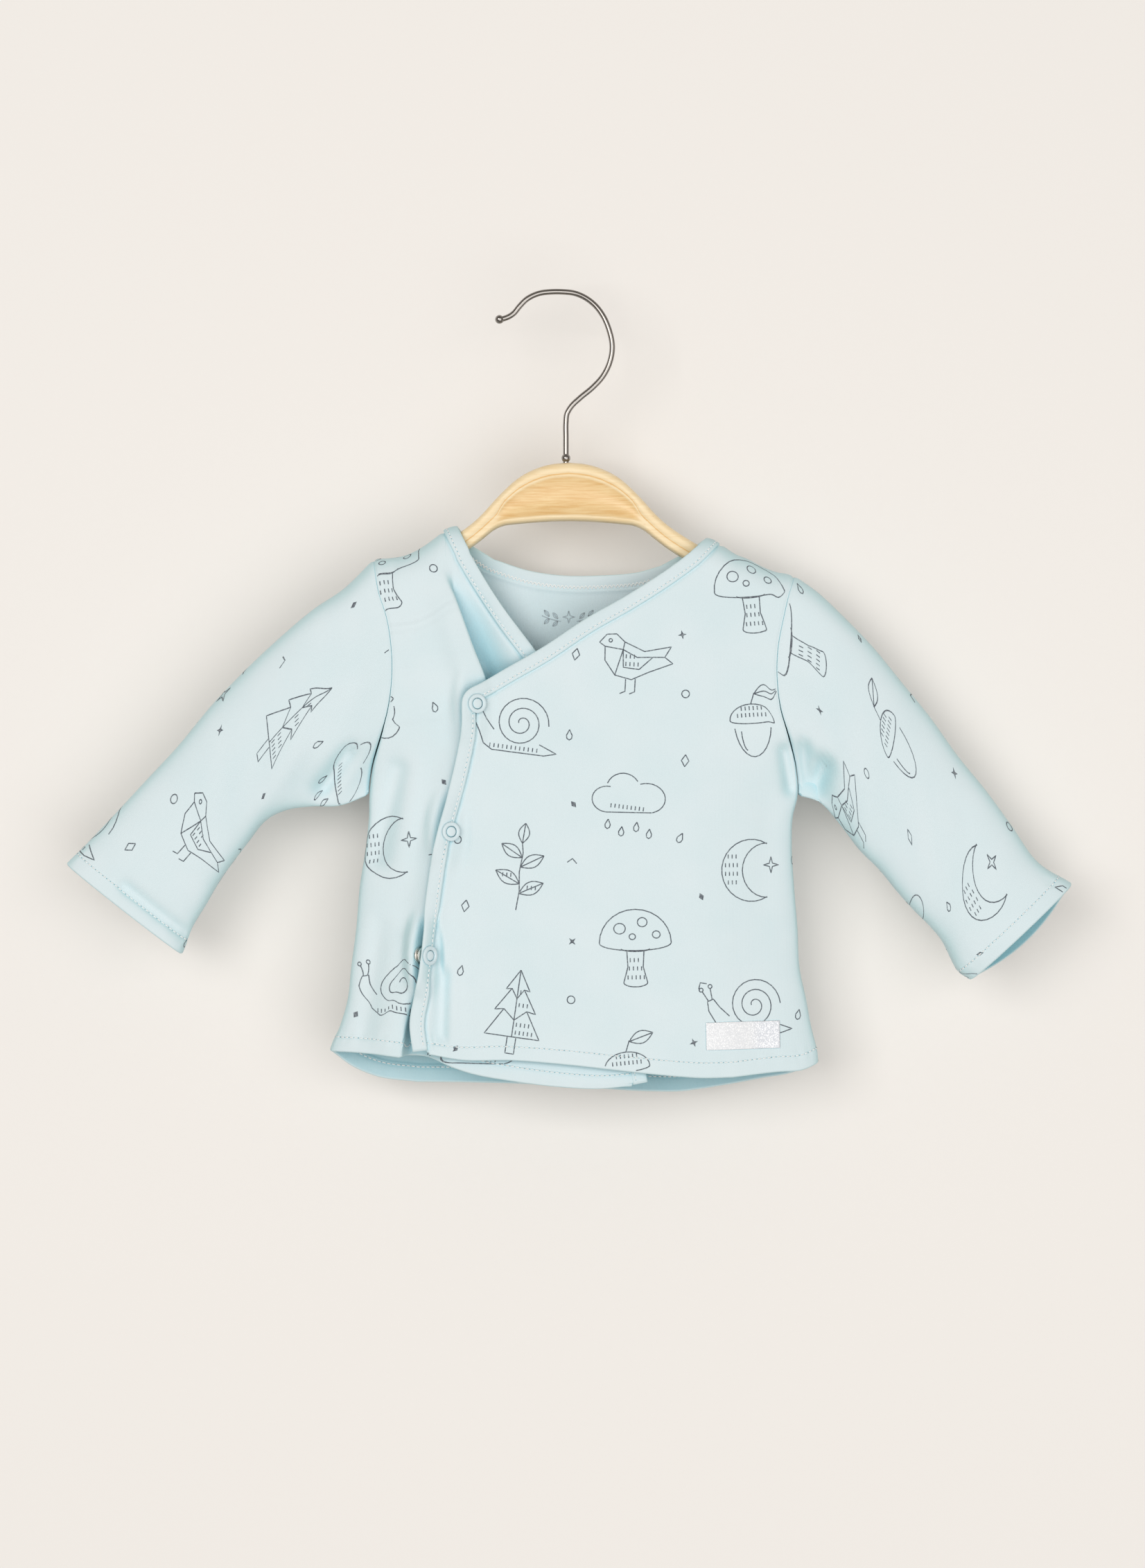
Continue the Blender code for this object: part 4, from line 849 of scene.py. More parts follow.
def cloth_shell(name, middle, flat, skin, reverse, material, outer_sign=1.0, shade=1.0):
    """Skin, reverse and rounded rims round a sheet's middle surface.

    flat has one more column than middle where the sheet is closed to a tube.
    """
    rows, cols = middle.shape[:2]
    closed = flat.shape[1] > cols
    if closed:
        wrapped = np.concatenate((middle[:, -1:], middle, middle[:, :1]), axis=1)
        out = normals_of(wrapped)[:, 1:-1] * outer_sign
    else:
        out = normals_of(middle) * outer_sign
    skin, reverse = (np.broadcast_to(size, (rows, cols))[..., None] for size in (skin, reverse))
    outside, inside = middle + out * skin, middle - out * reverse
    side = np.zeros_like(middle)
    side[0] += unit(middle[0] - middle[1])
    side[-1] += unit(middle[-1] - middle[-2])
    if not closed:
        side[:, 0] += unit(middle[:, 0] - middle[:, 1])
        side[:, -1] += unit(middle[:, -1] - middle[:, -2])
    side = unit(side)
    thick = (skin + reverse) / 2
    centre = (outside + inside) / 2

    plain = np.arange(rows * cols).reshape(rows, cols)
    if closed:
        plain = closed_round(plain)
    flats = np.arange(plain.size).reshape(plain.shape)
    loops, flat_loops = (
        [n[0], n[-1]] if closed else
        [np.concatenate((n[0, :-1], n[:-1, -1], n[-1, :0:-1], n[:, 0][::-1]))]
        for n in (plain, flats))
    faces = [quads(plain), quads(plain)[:, ::-1] + rows * cols]
    corners = [quads(flats), quads(flats)[:, ::-1]]
    points = [outside.reshape(-1, 3), inside.reshape(-1, 3)]
    count = 2 * rows * cols
    for loop, flat_loop in zip(loops, flat_loops):
        levels = [loop]
        for far, rise in RIM:
            level = centre + side * thick * far + out * thick * rise
            points.append(level.reshape(-1, 3)[loop[:-1]])
            numbers = count + np.arange(len(loop) - 1)
            levels.append(np.concatenate((numbers, numbers[:1])))
            count += len(numbers)
        levels.append(loop + rows * cols)
        faces.append(quads(np.array(levels)))
        corners.append(quads(np.array([flat_loop] * len(levels))))
    obj = make_piece(name, np.concatenate(points), np.concatenate(faces), material)
    lay_flat(obj.data, flat, np.concatenate(corners))
    face_outward(obj)
    note_side_shade(obj)
    # how much painted shade each inside face takes, more towards the last row
    inside_shade = np.zeros(count)
    inside_shade[rows * cols:2 * rows * cols] = np.repeat(
        shade * (INSIDE_SHADE_TOP + INSIDE_SHADE_GAIN * np.linspace(0, 1, rows)**2), cols)
    note(obj.data, "reverse", inside_shade)
    return SimpleNamespace(obj=obj, middle=middle, out=out, outside=outside, inside=inside,
                           flat=flat, numbers=plain, corners=quads(flats), closed=closed)


def lay_flat(mesh, flat, corners):
    """The flat map as UVs; its middle is at 0.5, 0.5."""
    places = 0.5 + (flat.reshape(-1, 2) - np.array(FLAT_MIDDLE)) / FLAT_UNIT
    layer = mesh.uv_layers.new(name="flat")
    layer.data.foreach_set("uv", places[corners.ravel()].ravel())


SIDE_SHADE_FROM, SIDE_SHADE_OVER = 0.97, 0.42       # painted side shade: a normal's share along y where the cloth starts to turn, and over what it grows


def note_side_shade(obj):
    """Where a piece's cloth has turned away from front and back; painted shade makes it a deeper
    blue there.
    """
    way = np.zeros(3 * len(obj.data.vertices))
    obj.data.vertices.foreach_get("normal", way)
    note(obj.data, "turned", ease((SIDE_SHADE_FROM - np.abs(way[1::3])) / SIDE_SHADE_OVER))


PLAIN_BLUES = ((0.69, 0.82, 0.86), (0.73, 0.84, 0.88))
# The second of these is painted shade, where the cloth turns sideways.
FELTED, SIDE_SHADE_BLUE = (0.77, 0.865, 0.895), (0.60, 0.80, 0.835)
# Painted shade: the blues of folds, of deep folds and of the inside.
FOLD_SHADE_BLUE, DEEP_SHADE_BLUE, INSIDE_SHADE_BLUE = (0.40, 0.70, 0.78), (0.20, 0.44, 0.52), (0.29, 0.58, 0.66)
FOLD_SHADE_REACH, INSIDE_SHADE_REACH = 0.026, 0.11          # in metres: how near cloth must be to paint shade into a fold, and into the inside


def jersey():
    """Pale blue cotton: knitted ribs down the cloth, a little felted, uneven in tone. Painted shade
    turns it a deeper blue in folds, on its inside and where it turns sideways.
    """
    paint = Paint("jersey", (0.72, 0.84, 0.86), 0.9)
    place = paint.place("flat", (FLAT_UNIT, FLAT_UNIT, 1))
    ribs = paint.node("TexWave", (("Vector", place), ("Scale", 0.45), ("Distortion", 1.1),
                                  ("Detail", 1.5), ("Detail Scale", 3.0)),
                      bands_direction="X").outputs["Fac"]
    felt = paint.noise(place, 1.6, 3.0, 0.6)
    cloud = paint.noise(place, 0.03, 2.0)
    tone = paint.mix(paint.ramp(cloud, 0.3, 0.7), *PLAIN_BLUES)
    tone = paint.mix(paint.ramp(felt, 0.35, 0.75, 0.0, 0.3), tone, FELTED)
    # painted shade: a deeper blue where the cloth turns sideways
    tone = paint.mix(paint.attribute("turned"), tone, SIDE_SHADE_BLUE)
    # painted shade in folds, deeper where other cloth is nearer
    air = paint.open_air(FOLD_SHADE_REACH)
    tone = paint.mix(paint.ramp(air, 0.25, 0.8, 1.0, 0.0), tone, FOLD_SHADE_BLUE)
    tone = paint.mix(paint.ramp(air, 0.04, 0.2, 1.0, 0.0), tone, DEEP_SHADE_BLUE)
    # painted shade on the inside faces, more where the inside is shut in
    inside_shade = paint.product(paint.attribute("reverse"),
                            paint.ramp(paint.open_air(INSIDE_SHADE_REACH), 0.2, 0.9, 1.0, 0.15))
    paint.set("Base Color", paint.mix(inside_shade, tone, INSIDE_SHADE_BLUE))
    soft = paint.bump(felt, 0.00025, 0.35)
    paint.set("Normal", paint.bump(ribs, 0.00012, 0.35, soft))
    paint.shader.inputs["Sheen Weight"].default_value = 0.12
    paint.shader.inputs["Sheen Roughness"].default_value = 0.5
    return paint.material


cloth = jersey()


def above_hem(middle):
    """How far each grid point lies above its column's hem, along the cloth."""
    run = run_of(middle)
    return run[-1] - run


def hem_skin(rise):
    """Skin and reverse thickness with a turned hem, drawn in along its stitching."""
    turned = 1 - ease((rise - HEM_DEEP) / HEM_EDGE + 0.5)
    drawn = HEM_DRAWN * np.exp(-((rise - HEM_STITCH) / DRAWN_WIDE)**2)
    place = np.arange(rise.shape[1])
    pucker = HEM_PUCKER * (np.sin(place * 1.31) + np.sin(place * 0.83 + 1.7)) * np.exp(
        -((rise - HEM_STITCH) / PUCKER_WIDE)**2)
    return SKIN + HEM_SPREAD * turned - drawn + pucker, SKIN + HEM_TURNED * turned - drawn - pucker


def panel_rows():
    """Steps down a panel: close at the shoulder, even, then close through the hem."""
    return np.unique(np.concatenate((PANEL_TOP * close_at_start(ROWS_TOP),
                                     np.linspace(PANEL_TOP, PANEL_LOW, ROWS_DOWN),
                                     np.linspace(PANEL_LOW, 1.0, ROWS_LOW))).round(6))


def lean_over(middle):
    """The tuck's fold edge leans out over the cloth that drops behind it."""
    x, z = middle[..., 0], middle[..., 2]
    edge, drop = tuck_at("edge", z), tuck_at("drop", z)
    full = TUCK_LEAN * drop / LEAN_DROP * ease((z - LEAN_LOW) / LEAN_FADE) * ease(
        (LEAN_HIGH - z) / LEAN_FADE)
    off = (x - edge) / LEAN_SPREAD
    middle[..., 0] = x + full * (LEAN_SHIFT - LEAN_PINCH * off) * np.exp(-off**2)
    return middle


def panel_middle(panel, fields):
    """A panel from its fields: each one's top line, hem, left and right lines, and columns."""
    down = panel_rows()
    flat = np.concatenate([patch((top, line_through(hem), left, right), across, down)[:, i > 0:]
                           for i, (top, hem, left, right, across) in enumerate(fields)], axis=1)
    middle = on_panel(panel, flat[..., 0], flat[..., 1])
    return lean_over(middle) if panel == "inner" else middle


def make_panel(name, node, panel, *fields):
    middle = panel_middle(panel, fields)
    flat = flat_map(middle)
    if panel == "back":
        flat[..., 0] *= -1          # its print is the right way round from behind
    skin, reverse = hem_skin(above_hem(middle))
    first, last = {"outer": (0, right_top), "back": (right_top + 1, left_top),
                   "inner": (left_top + 1, None)}[panel]
    bound = strip_centres + strip_across * (BINDING_WIDTH / 2 + BINDING_CREASE)
    dip = seam_dip(from_line(middle, bound[first:last, [0, 2]]))
    for side in {"outer": ["right"], "inner": ["left"], "back": ["left", "right"]}[panel]:
        seam = body_at(side, middle[..., 2])
        dip = dip + SIDE_SHARE * seam_dip(middle[..., 0] - seam)
    sheet = cloth_shell(name, middle, flat, skin - dip, reverse + dip, cloth,
                        -1.0 if panel == "back" else 1.0)
    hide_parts(node)
    return sheet


left_shoulder, right_shoulder = shoulder(LEFT_TIP, left_neck[0]), shoulder(right_neck[0], RIGHT_TIP)
back_neck = np.vstack(([right_neck], seam_line[right_top + 1:left_top], [left_neck]))[::-1]
back_left = line_through((left_neck, LEFT_WAIST, BACK_HEM[BACK_LEFT]))
back_right = line_through((right_neck, RIGHT_WAIST, BACK_HEM[BACK_RIGHT]))
back = make_panel(
    "back_panel", "back", "back",
    (left_shoulder, BACK_HEM[:BACK_LEFT + 1], left_side, back_left, close_at_start(40)),
    (line_through(back_neck), BACK_HEM[BACK_LEFT:BACK_RIGHT + 1], back_left, back_right, even(70)),
    (right_shoulder, BACK_HEM[BACK_RIGHT:], back_right, right_side, close_at_end(40)))

# ---- Right front, under --------------------------------------------------------------------------
# The wearer's right front: it runs on beneath the left one, falls into a long tuck beside the
# snaps, and has its own slanted neckline and front edge.

inner_neck = np.vstack(([left_neck], seam_line[left_top + 1:inner_corner + 1]))
inner_edge = np.vstack((seam_line[inner_corner:-1], [INNER_HEM[-1]]))
tuck_line = line_through(np.vstack(([left_neck], [row[1::-1] for row in TUCK[-2:1:-1]],
                                    [INNER_HEM[INNER_FOLD]])))
front_under = make_panel(
    "front_under", "front_right_under", "inner",
    (left_shoulder, INNER_HEM[:INNER_FOLD + 1], left_side, tuck_line, close_at_both(44)),
    (line_through(inner_neck), INNER_HEM[INNER_FOLD:], tuck_line, line_through(inner_edge),
     close_at_start(60)))

# ---- Left front, over ----------------------------------------------------------------------------
# The wearer's left front: it crosses over to the viewer's left, with the long slanted neckline, and
# is held there by the three snaps.

outer_neck = np.vstack((seam_line[outer_corner:right_top], [right_neck]))
outer_edge = np.vstack((seam_line[outer_corner:0:-1], [OUTER_HEM[0]]))
outer_line = line_through((right_neck, RIGHT_WAIST, OUTER_HEM[OUTER_RIGHT]))
front_over = make_panel(
    "front_over", "front_left_over", "outer",
    (line_through(outer_neck), OUTER_HEM[:OUTER_RIGHT + 1], line_through(outer_edge), outer_line,
     close_at_start(112)),
    (right_shoulder, OUTER_HEM[OUTER_RIGHT:], outer_line, right_side, close_at_end(40)))

# ---- Sleeves -------------------------------------------------------------------------------------
# Each is one piece, sewn to a tube under the arm, set into the armhole and hemmed at the cuff. The
# cuffs stand open; their backs hang a little past their fronts.

# Armhole to cuff: top point, bottom point, half depth and how far the back hangs past
SLEEVE_COLUMNS = ("top_x", "top_z", "low_x", "low_z", "half", "past")
RIGHT_SLEEVE = (
    (-95.6, -134.8, -99.0, -252.2, 14.0, 0.0), (-110.0, -148.8, -113.0, -257.6, 14.5, 0.0),
    (-126.0, -159.6, -127.0, -258.0, 15.0, 0.0), (-143.0, -174.0, -140.0, -260.0, 15.0, 0.0),
    (-160.0, -190.0, -150.5, -265.5, 14.5, 0.0), (-177.0, -207.8, -159.0, -276.0, 14.0, 0.0),
    (-194.0, -228.4, -167.0, -286.5, 13.5, 0.0), (-210.0, -245.6, -174.0, -296.5, 13.0, 0.0),
    (-225.0, -261.8, -180.0, -307.0, 12.5, 0.5), (-238.5, -276.0, -187.5, -319.5, 12.0, 1.0),
    (-249.6, -287.2, -192.4, -332.0, 12.0, 1.5),
)
LEFT_SLEEVE = (
    (117.0, -142.8, 120.4, -252.4, 14.0, 0.0), (129.0, -151.4, 131.0, -256.4, 14.5, 0.0),
    (143.0, -164.6, 141.0, -268.0, 15.0, 0.0), (157.0, -179.2, 150.0, -280.0, 15.0, 0.0),
    (171.0, -196.4, 160.0, -290.0, 15.0, 0.0), (185.0, -213.6, 169.0, -301.0, 14.5, 0.0),
    (199.0, -233.2, 177.5, -310.5, 14.5, 0.5), (213.0, -250.4, 185.5, -318.5, 14.5, 1.5),
    (226.0, -268.2, 192.0, -326.5, 14.5, 3.0), (239.0, -286.4, 199.0, -340.0, 15.0, 5.0),
    (256.0, -297.4, 205.6, -345.2, 16.0, 7.0),
)
CUFF_OVAL = 0.8
ARMHOLE_FADE = 0.33
SLEEVE_SEAM = 0.75          # how far the sleeve's raw edge stands off the armhole's
SLEEVE_AROUND = 96
SLEEVE_TOP = -150.0         # on the flat map


def sleeve_middle(table, side, panel, steps):
    """Rings from the armhole to the cuff; the first follows the armhole seam."""
    table = np.asarray(table, float)
    rows = np.linspace(0, 1, len(table))
    out = -1.0 if side == "left" else 1.0
    turn = 2 * math.pi * np.arange(SLEEVE_AROUND) / SLEEVE_AROUND
    t = (1 - np.cos(turn)) / 2
    front = np.sin(turn) > 0
    seam_z = table[0, 1] + t * (table[0, 3] - table[0, 1])
    seam_x = body_at(side, seam_z)
    seam_y = np.where(front, height(panel, seam_x, seam_z), height("back", seam_x, seam_z))
    bend = seam_x + out * SLEEVE_SEAM - (table[0, 0] + t * (table[0, 2] - table[0, 0]))
    rings = []
    for s in steps:
        read = {name: along(rows, table[:, i], s) for i, name in enumerate(SLEEVE_COLUMNS)}
        fade = max(0.0, 1 - s / ARMHOLE_FADE)**2
        x = read["top_x"] + t * (read["low_x"] - read["top_x"]) + bend * fade
        z = read["top_z"] + t * (read["low_z"] - read["top_z"])
        own = float(ease(s / ARMHOLE_FADE))
        y = seam_y * (1 - own) + read["half"] * np.abs(np.sin(turn))**CUFF_OVAL * own
        piece = "right_sleeve" if side == "left" else "left_sleeve"
        press = np.where(front, pressed(piece, x, z), pressed(piece + "_back", x, z))
        y = np.where(np.abs(np.sin(turn)) < 1e-6, 0.0, y - press * round_over(y, PRESS_FADE))
        chord = np.array((read["low_x"] - read["top_x"], read["low_z"] - read["top_z"]))
        chord /= np.linalg.norm(chord)
        hang = out * np.where(front, 0.0, read["past"] * np.sin(turn)**2)
        rings.append(np.stack((x - hang * chord[1], np.where(front, -y, y),
                               z + hang * chord[0]), axis=-1))
    return np.array(rings)


def tube_map(middle):
    """Flat places of a tube's points: round it from its underarm, and along it."""
    around = run_of(closed_round(middle).swapaxes(0, 1)).T
    down = np.broadcast_to(SLEEVE_TOP - run_of(middle.mean(axis=1))[:, None], around.shape)
    return np.stack((around - around[:, -1:] / 2, down), axis=-1)


def make_sleeve(name, node, table, side, panel):
    steps = np.unique(np.concatenate((np.linspace(0, 0.04, 10), np.linspace(0.04, 0.95, 84),
                                      np.linspace(0.95, 1, 16))).round(6))
    middle = np.roll(sleeve_middle(table, side, panel, steps), SLEEVE_AROUND // 2, axis=1)
    flip = -1.0 if side == "right" else 1.0
    above = above_hem(middle)
    skin, reverse = hem_skin(above)
    dip = SIDE_SHARE * seam_dip(above[0] - above)
    sheet = cloth_shell(name, middle, tube_map(middle) * (flip, 1.0), skin - dip, reverse + dip,
                        cloth, flip, CUFF_SHADE)
    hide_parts(node)
    return sheet


sleeve_right = make_sleeve("sleeve_right_tube", "sleeve_right", RIGHT_SLEEVE, "left", "inner")
sleeve_left = make_sleeve("sleeve_left_tube", "sleeve_left", LEFT_SLEEVE, "right", "outer")

# ---- Edge binding --------------------------------------------------------------------------------
# One strip of the same jersey without print, folded over the raw edges: from the outer front's hem,
# up its edge, round its corner, along the neck, and down the under front.

BINDING_POWER = 2.6         # roundness of the folded strip
BINDING_SIDES = 28
STRIP_ON_MAP = 0.1          # its middle on the flat map, beside the panels
STITCH_IN = 1.9             # its topstitching lies this far from the seam edge
STITCH_DENT, STITCH_WIDE = 0.28, 0.55


def binding_ring():
    """Section of the folded strip: side from -1, the fold, to 1, the seam; and rise."""
    side, rise = (np.sign(way) * np.abs(way)**(2 / BINDING_POWER)
                  for way in (np.cos(full_turn(BINDING_SIDES)), np.sin(full_turn(BINDING_SIDES))))
    groove = np.exp(-((side - 1 + STITCH_IN / (BINDING_WIDTH / 2)) * BINDING_WIDTH / 2
                      / STITCH_WIDE)**2)
    return side, rise * (1 - STITCH_DENT * groove)


def make_binding():
    side, rise = binding_ring()
    rings = (strip_centres[:, None]
             + side[None, :, None] * BINDING_WIDTH / 2 * strip_across[:, None]
             + rise[None, :, None] * BINDING_THICK / 2 * strip_up[:, None])
    obj = make_loft("edge_binding", rings, cloth)
    layer = obj.data.uv_layers.new(name="flat")
    number = np.zeros(len(obj.data.loops), int)
    obj.data.loops.foreach_get("vertex_index", number)
    places = np.stack((STRIP_ON_MAP + side[number % BINDING_SIDES] * BINDING_WIDTH / FLAT_UNIT,
                       run_of(strip_centres)[number // BINDING_SIDES] / FLAT_UNIT), axis=-1)
    layer.data.foreach_set("uv", places.ravel())
    note_side_shade(obj)
    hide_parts("binding")
    return obj


binding = make_binding()

# ---- Print ---------------------------------------------------------------------------------------
# Small line drawings and loose marks in dark grey ink, screen printed on the cloth before it was
# cut, so that seams cut through them. The motifs are the author's own.

MOTIF_SIZE = 1.2
LINE_WIDE, LINE_STEP = 0.55, 1.1
INK_LIFT = 0.07                         # above the cloth, so that it shows
TICK = 1.7                              # length of a hatching tick, and the way to the next
MOTIF_SPACING = (57.0, 70.0)            # across and down, every second column half a step lower
MARK_SPACING = (57.0, 35.0)
MOTIF_JITTER, MARK_JITTER = 3.0, 5.5
MOTIF_LEAN, MARK_LEAN = 0.16, 0.9       # turned by up to this, in radians
MOTIF_COLUMNS, MOTIF_ROWS = 8, 7
PICK_DOWN, PICK_ACROSS = 5.0, 6.0       # steps through the kinds, so that no neighbours match


def arc(x, y, wide, tall, start=0, end=360):
    """Part of an ellipse, from and to an angle in degrees."""
    a = np.radians(np.linspace(start, end, max(5, int(abs(end - start) / 12))))
    return np.stack((x + wide * np.cos(a), y + tall * np.sin(a)), axis=-1)


def leaf(x0, y0, x1, y1, belly):
    """Two bowed edges and a midrib between two points."""
    t = np.linspace(0, 1, 9)[:, None]
    start, end = np.array((x0, y0)), np.array((x1, y1))
    side = np.array((-(y1 - y0), x1 - x0)) / math.hypot(x1 - x0, y1 - y0)
    spine = start + t * (end - start)
    bow = belly * np.sin(np.pi * t) * side
    return [spine + bow, spine - bow, spine[::4]]


def ticks(x, y, count, gap=TICK):
    """A row of short upright strokes."""
    return [((x + i * gap, y), (x + i * gap, y + TICK)) for i in range(count)]


def pine():
    outline = ((0, 18), (5, 9.5), (2.6, 10), (8.6, 0.5), (4.8, 1.2), (11.5, -10), (-11.5, -10),
               (-4.8, 1.2), (-8.6, 0.5), (-2.6, 10), (-5, 9.5), (0, 18))
    facets = [((0, 18), (0, -10)), ((-2.6, 10), (0, 6), (2.6, 10)),
              ((-4.8, 1.2), (0, -3), (4.8, 1.2))]
    trunk = ((-1.8, -10), (-1.8, -17), (1.8, -17), (1.8, -10))
    return [outline, trunk, *facets, *ticks(1.3, 2.6, 3), *ticks(1.3, -5.6, 4),
            *ticks(1.3, -8.9, 5), *ticks(1.2, 8.0, 1)]


def toadstool():
    cap = [arc(0, 1, 15, 14, 0, 180), arc(0, 1, 15, 3.2, 180, 360), arc(0, -1, 6.5, 1.6, 200, 340)]
    spots = [arc(-6.5, 7, 2.4, 2.2), arc(3, 9.6, 2.0, 1.9), arc(8.8, 4.4, 1.6, 1.5),
             arc(-1.2, 3.6, 1.3, 1.2)]
    stem = [((-3.6, -2), (-3.2, -9), (-5, -15.5)), ((3.6, -2), (3.2, -9), (5, -15.5)),
            arc(0, -15.5, 5, 1.8, 180, 360)]
    return cap + spots + stem + ticks(-2.2, -7, 3) + ticks(-2.6, -10.5, 4) + ticks(-3.2, -14.2, 5)


def snail():
    turns = np.radians(np.linspace(0, 900, 64))
    reach = 11.5 - turns * 0.66
    shell = np.stack((3 + reach * np.cos(turns), 2 + reach * np.sin(turns)), axis=-1)
    body = ((-8, -2), (-12, 2), (-14.5, 5.5), (-17, 4.5), (-16.6, 0.5), (-12, -8), (-8, -10.4),
            (14, -10.4), (19, -9), (11.5, -6))
    horns = [((-15, 5.4), (-15.6, 10)), ((-16.6, 4.8), (-19, 8.8)), arc(-15.6, 10.8, 0.8, 0.8),
             arc(-19.4, 9.5, 0.8, 0.8)]
    return [shell, body, *horns, *ticks(-9, -9.4, 12, 1.8)]


def bird():
    body = ((-14, 6), (-11, 9.5), (-7, 9.8), (-3.4, 6.6), (5, 3), (16, 5.5), (13.5, 1), (17, -1.5),
            (7, -5.6), (0, -9), (-7, -7.4), (-11.4, -1.4), (-11.6, 4.4), (-14, 6))
    wing = ((-4, 3.4), (2, 0.4), (8.6, 0.8), (3, -4.6), (-3.6, -4), (-4, 3.4))
    legs = [((-2.4, -8.8), (-2.4, -14), (-4.6, -15)), ((1.6, -8.6), (1.6, -14), (-0.6, -15))]
    facets = [((-11.6, 4.4), (-4, 3.4), (-7, -7.4)), ((-4, 3.4), (-3.4, 6.6)),
              ((8.6, 0.8), (13.5, 1))]
    return [body, wing, arc(-9.4, 7, 0.7, 0.7), *legs, *facets, *ticks(-2.6, -0.2, 3),
            *ticks(-2.6, -3.4, 4)]


def acorn():
    cap = [arc(0, 4, 9.4, 6.4, 0, 180), arc(0, 4, 9.4, 1.8, 180, 360), ((0, 10.4), (1.8, 15))]
    nut = [arc(0, 3.2, 7.8, 15, 190, 350), arc(-2.6, 0, 2.4, 9, 185, 262)]
    hatch = ticks(-6, 5, 8) + ticks(-4.2, 7.8, 6)
    return cap + nut + hatch + leaf(1.8, 14.6, 12, 17.4, 2.6)


def sprig():
    stem = ((0, -18), (0.8, -10), (0.2, -2), (1.2, 6), (0.6, 10))
    return [stem, *leaf(0.7, -11, 10.5, -6, 2.7), *leaf(0.6, -7, -9.6, -2, 2.7),
            *leaf(0.5, 0, 10, 5.4, 2.6), *leaf(0.9, 4, -8, 9.2, 2.5),
            *leaf(0.6, 10, 1.4, 18.4, 2.3), *ticks(4, -9.2, 3), *ticks(-6.6, -4.4, 3)]


def cloud():
    puffs = [arc(-9.4, 0, 6.4, 5.4, 84, 270), arc(-3.4, 5, 7, 6.6, 36, 166),
             arc(7, 2.4, 7.6, 6.2, -68, 118), ((-9.4, -5.4), (9.6, -3.4))]
    rain = [drop(x, y) for x, y in ((-8, -10.6), (-2, -13), (4, -10.4), (9.6, -12.6))]
    return puffs + rain + ticks(-7.6, -3.2, 9)


def moon():
    outer, inner = arc(0, 0, 13, 13, 58, 302), arc(6.9, 0, 11, 11.4, 90, 270)
    return [outer, inner, *ticks(-11.4, 1.4, 4), *ticks(-11.4, -2.2, 4), *ticks(-10.2, 5, 3),
            *ticks(-10.2, -5.8, 3), *star(8.6, 2.2, 3.4)]


def drop(x, y, size=1.0):
    return np.array(((0, 2.4), (1.1, 0.2), (0.9, -1), (0, -1.6), (-0.9, -1), (-1.1, 0.2), (0, 2.4))
                    ) * size + (x, y)


def star(x, y, size=2.8, waist=0.28):
    """Four long points."""
    a = np.radians(np.arange(0, 361, 45))
    long = np.where(np.arange(9) % 2, size * waist, size)
    return [np.stack((x + long * np.sin(a), y + long * np.cos(a)), axis=-1)]


MOTIFS = (pine, toadstool, snail, bird, acorn, sprig, cloud, moon)
# Loose marks: outlines, and whether ink fills them
MARKS = (
    (star(0, 0, 2.3, 0.34)[0], True), (arc(0, 0, 1.9, 1.9), False),
    (np.array(((0, 3), (1.9, 0), (0, -3), (-1.9, 0), (0, 3))), False), (drop(0, 0, 1.3), False),
    (np.array(((0, 2), (1.3, 0), (0, -2), (-1.3, 0), (0, 2))), True),
    (np.array(((-2.4, -1), (0, 1.2), (2.4, -1))), False),
)


def ribbon(stroke):
    """A flat strip along a stroke, in short steps; its corners are kept."""
    stroke = np.asarray(stroke, float)
    pieces = [a + np.linspace(0, 1, max(1, math.ceil(math.dist(a, b) / LINE_STEP)),
                              endpoint=False)[:, None] * (b - a)
              for a, b in zip(stroke, stroke[1:])]
    line = np.concatenate(pieces + [stroke[-1:]])
    run = unit(np.gradient(line, axis=0))
    side = np.stack((-run[:, 1], run[:, 0]), axis=-1) * LINE_WIDE / 2
    return np.concatenate((line + side, line - side)), quads(
        np.arange(2 * len(line)).reshape(2, len(line)))


def gathered(parts):
    """Flat (points, faces) parts as one."""
    points, faces, count = [], [], 0
    for part, cells in parts:
        points.append(np.column_stack((part, np.zeros(len(part)))))
        faces += [tuple(int(v) + count for v in cell) for cell in cells]
        count += len(part)
    return np.concatenate(points), faces


def flat_object(name, parts, collection):
    """A temporary flat mesh, one of the things to scatter."""
    points, faces = gathered(parts)
    mesh = bpy.data.meshes.new(name)
    mesh.from_pydata((points * MM).tolist(), [], faces)
    obj = bpy.data.objects.new(name, mesh)
    collection.objects.link(obj)
    return obj


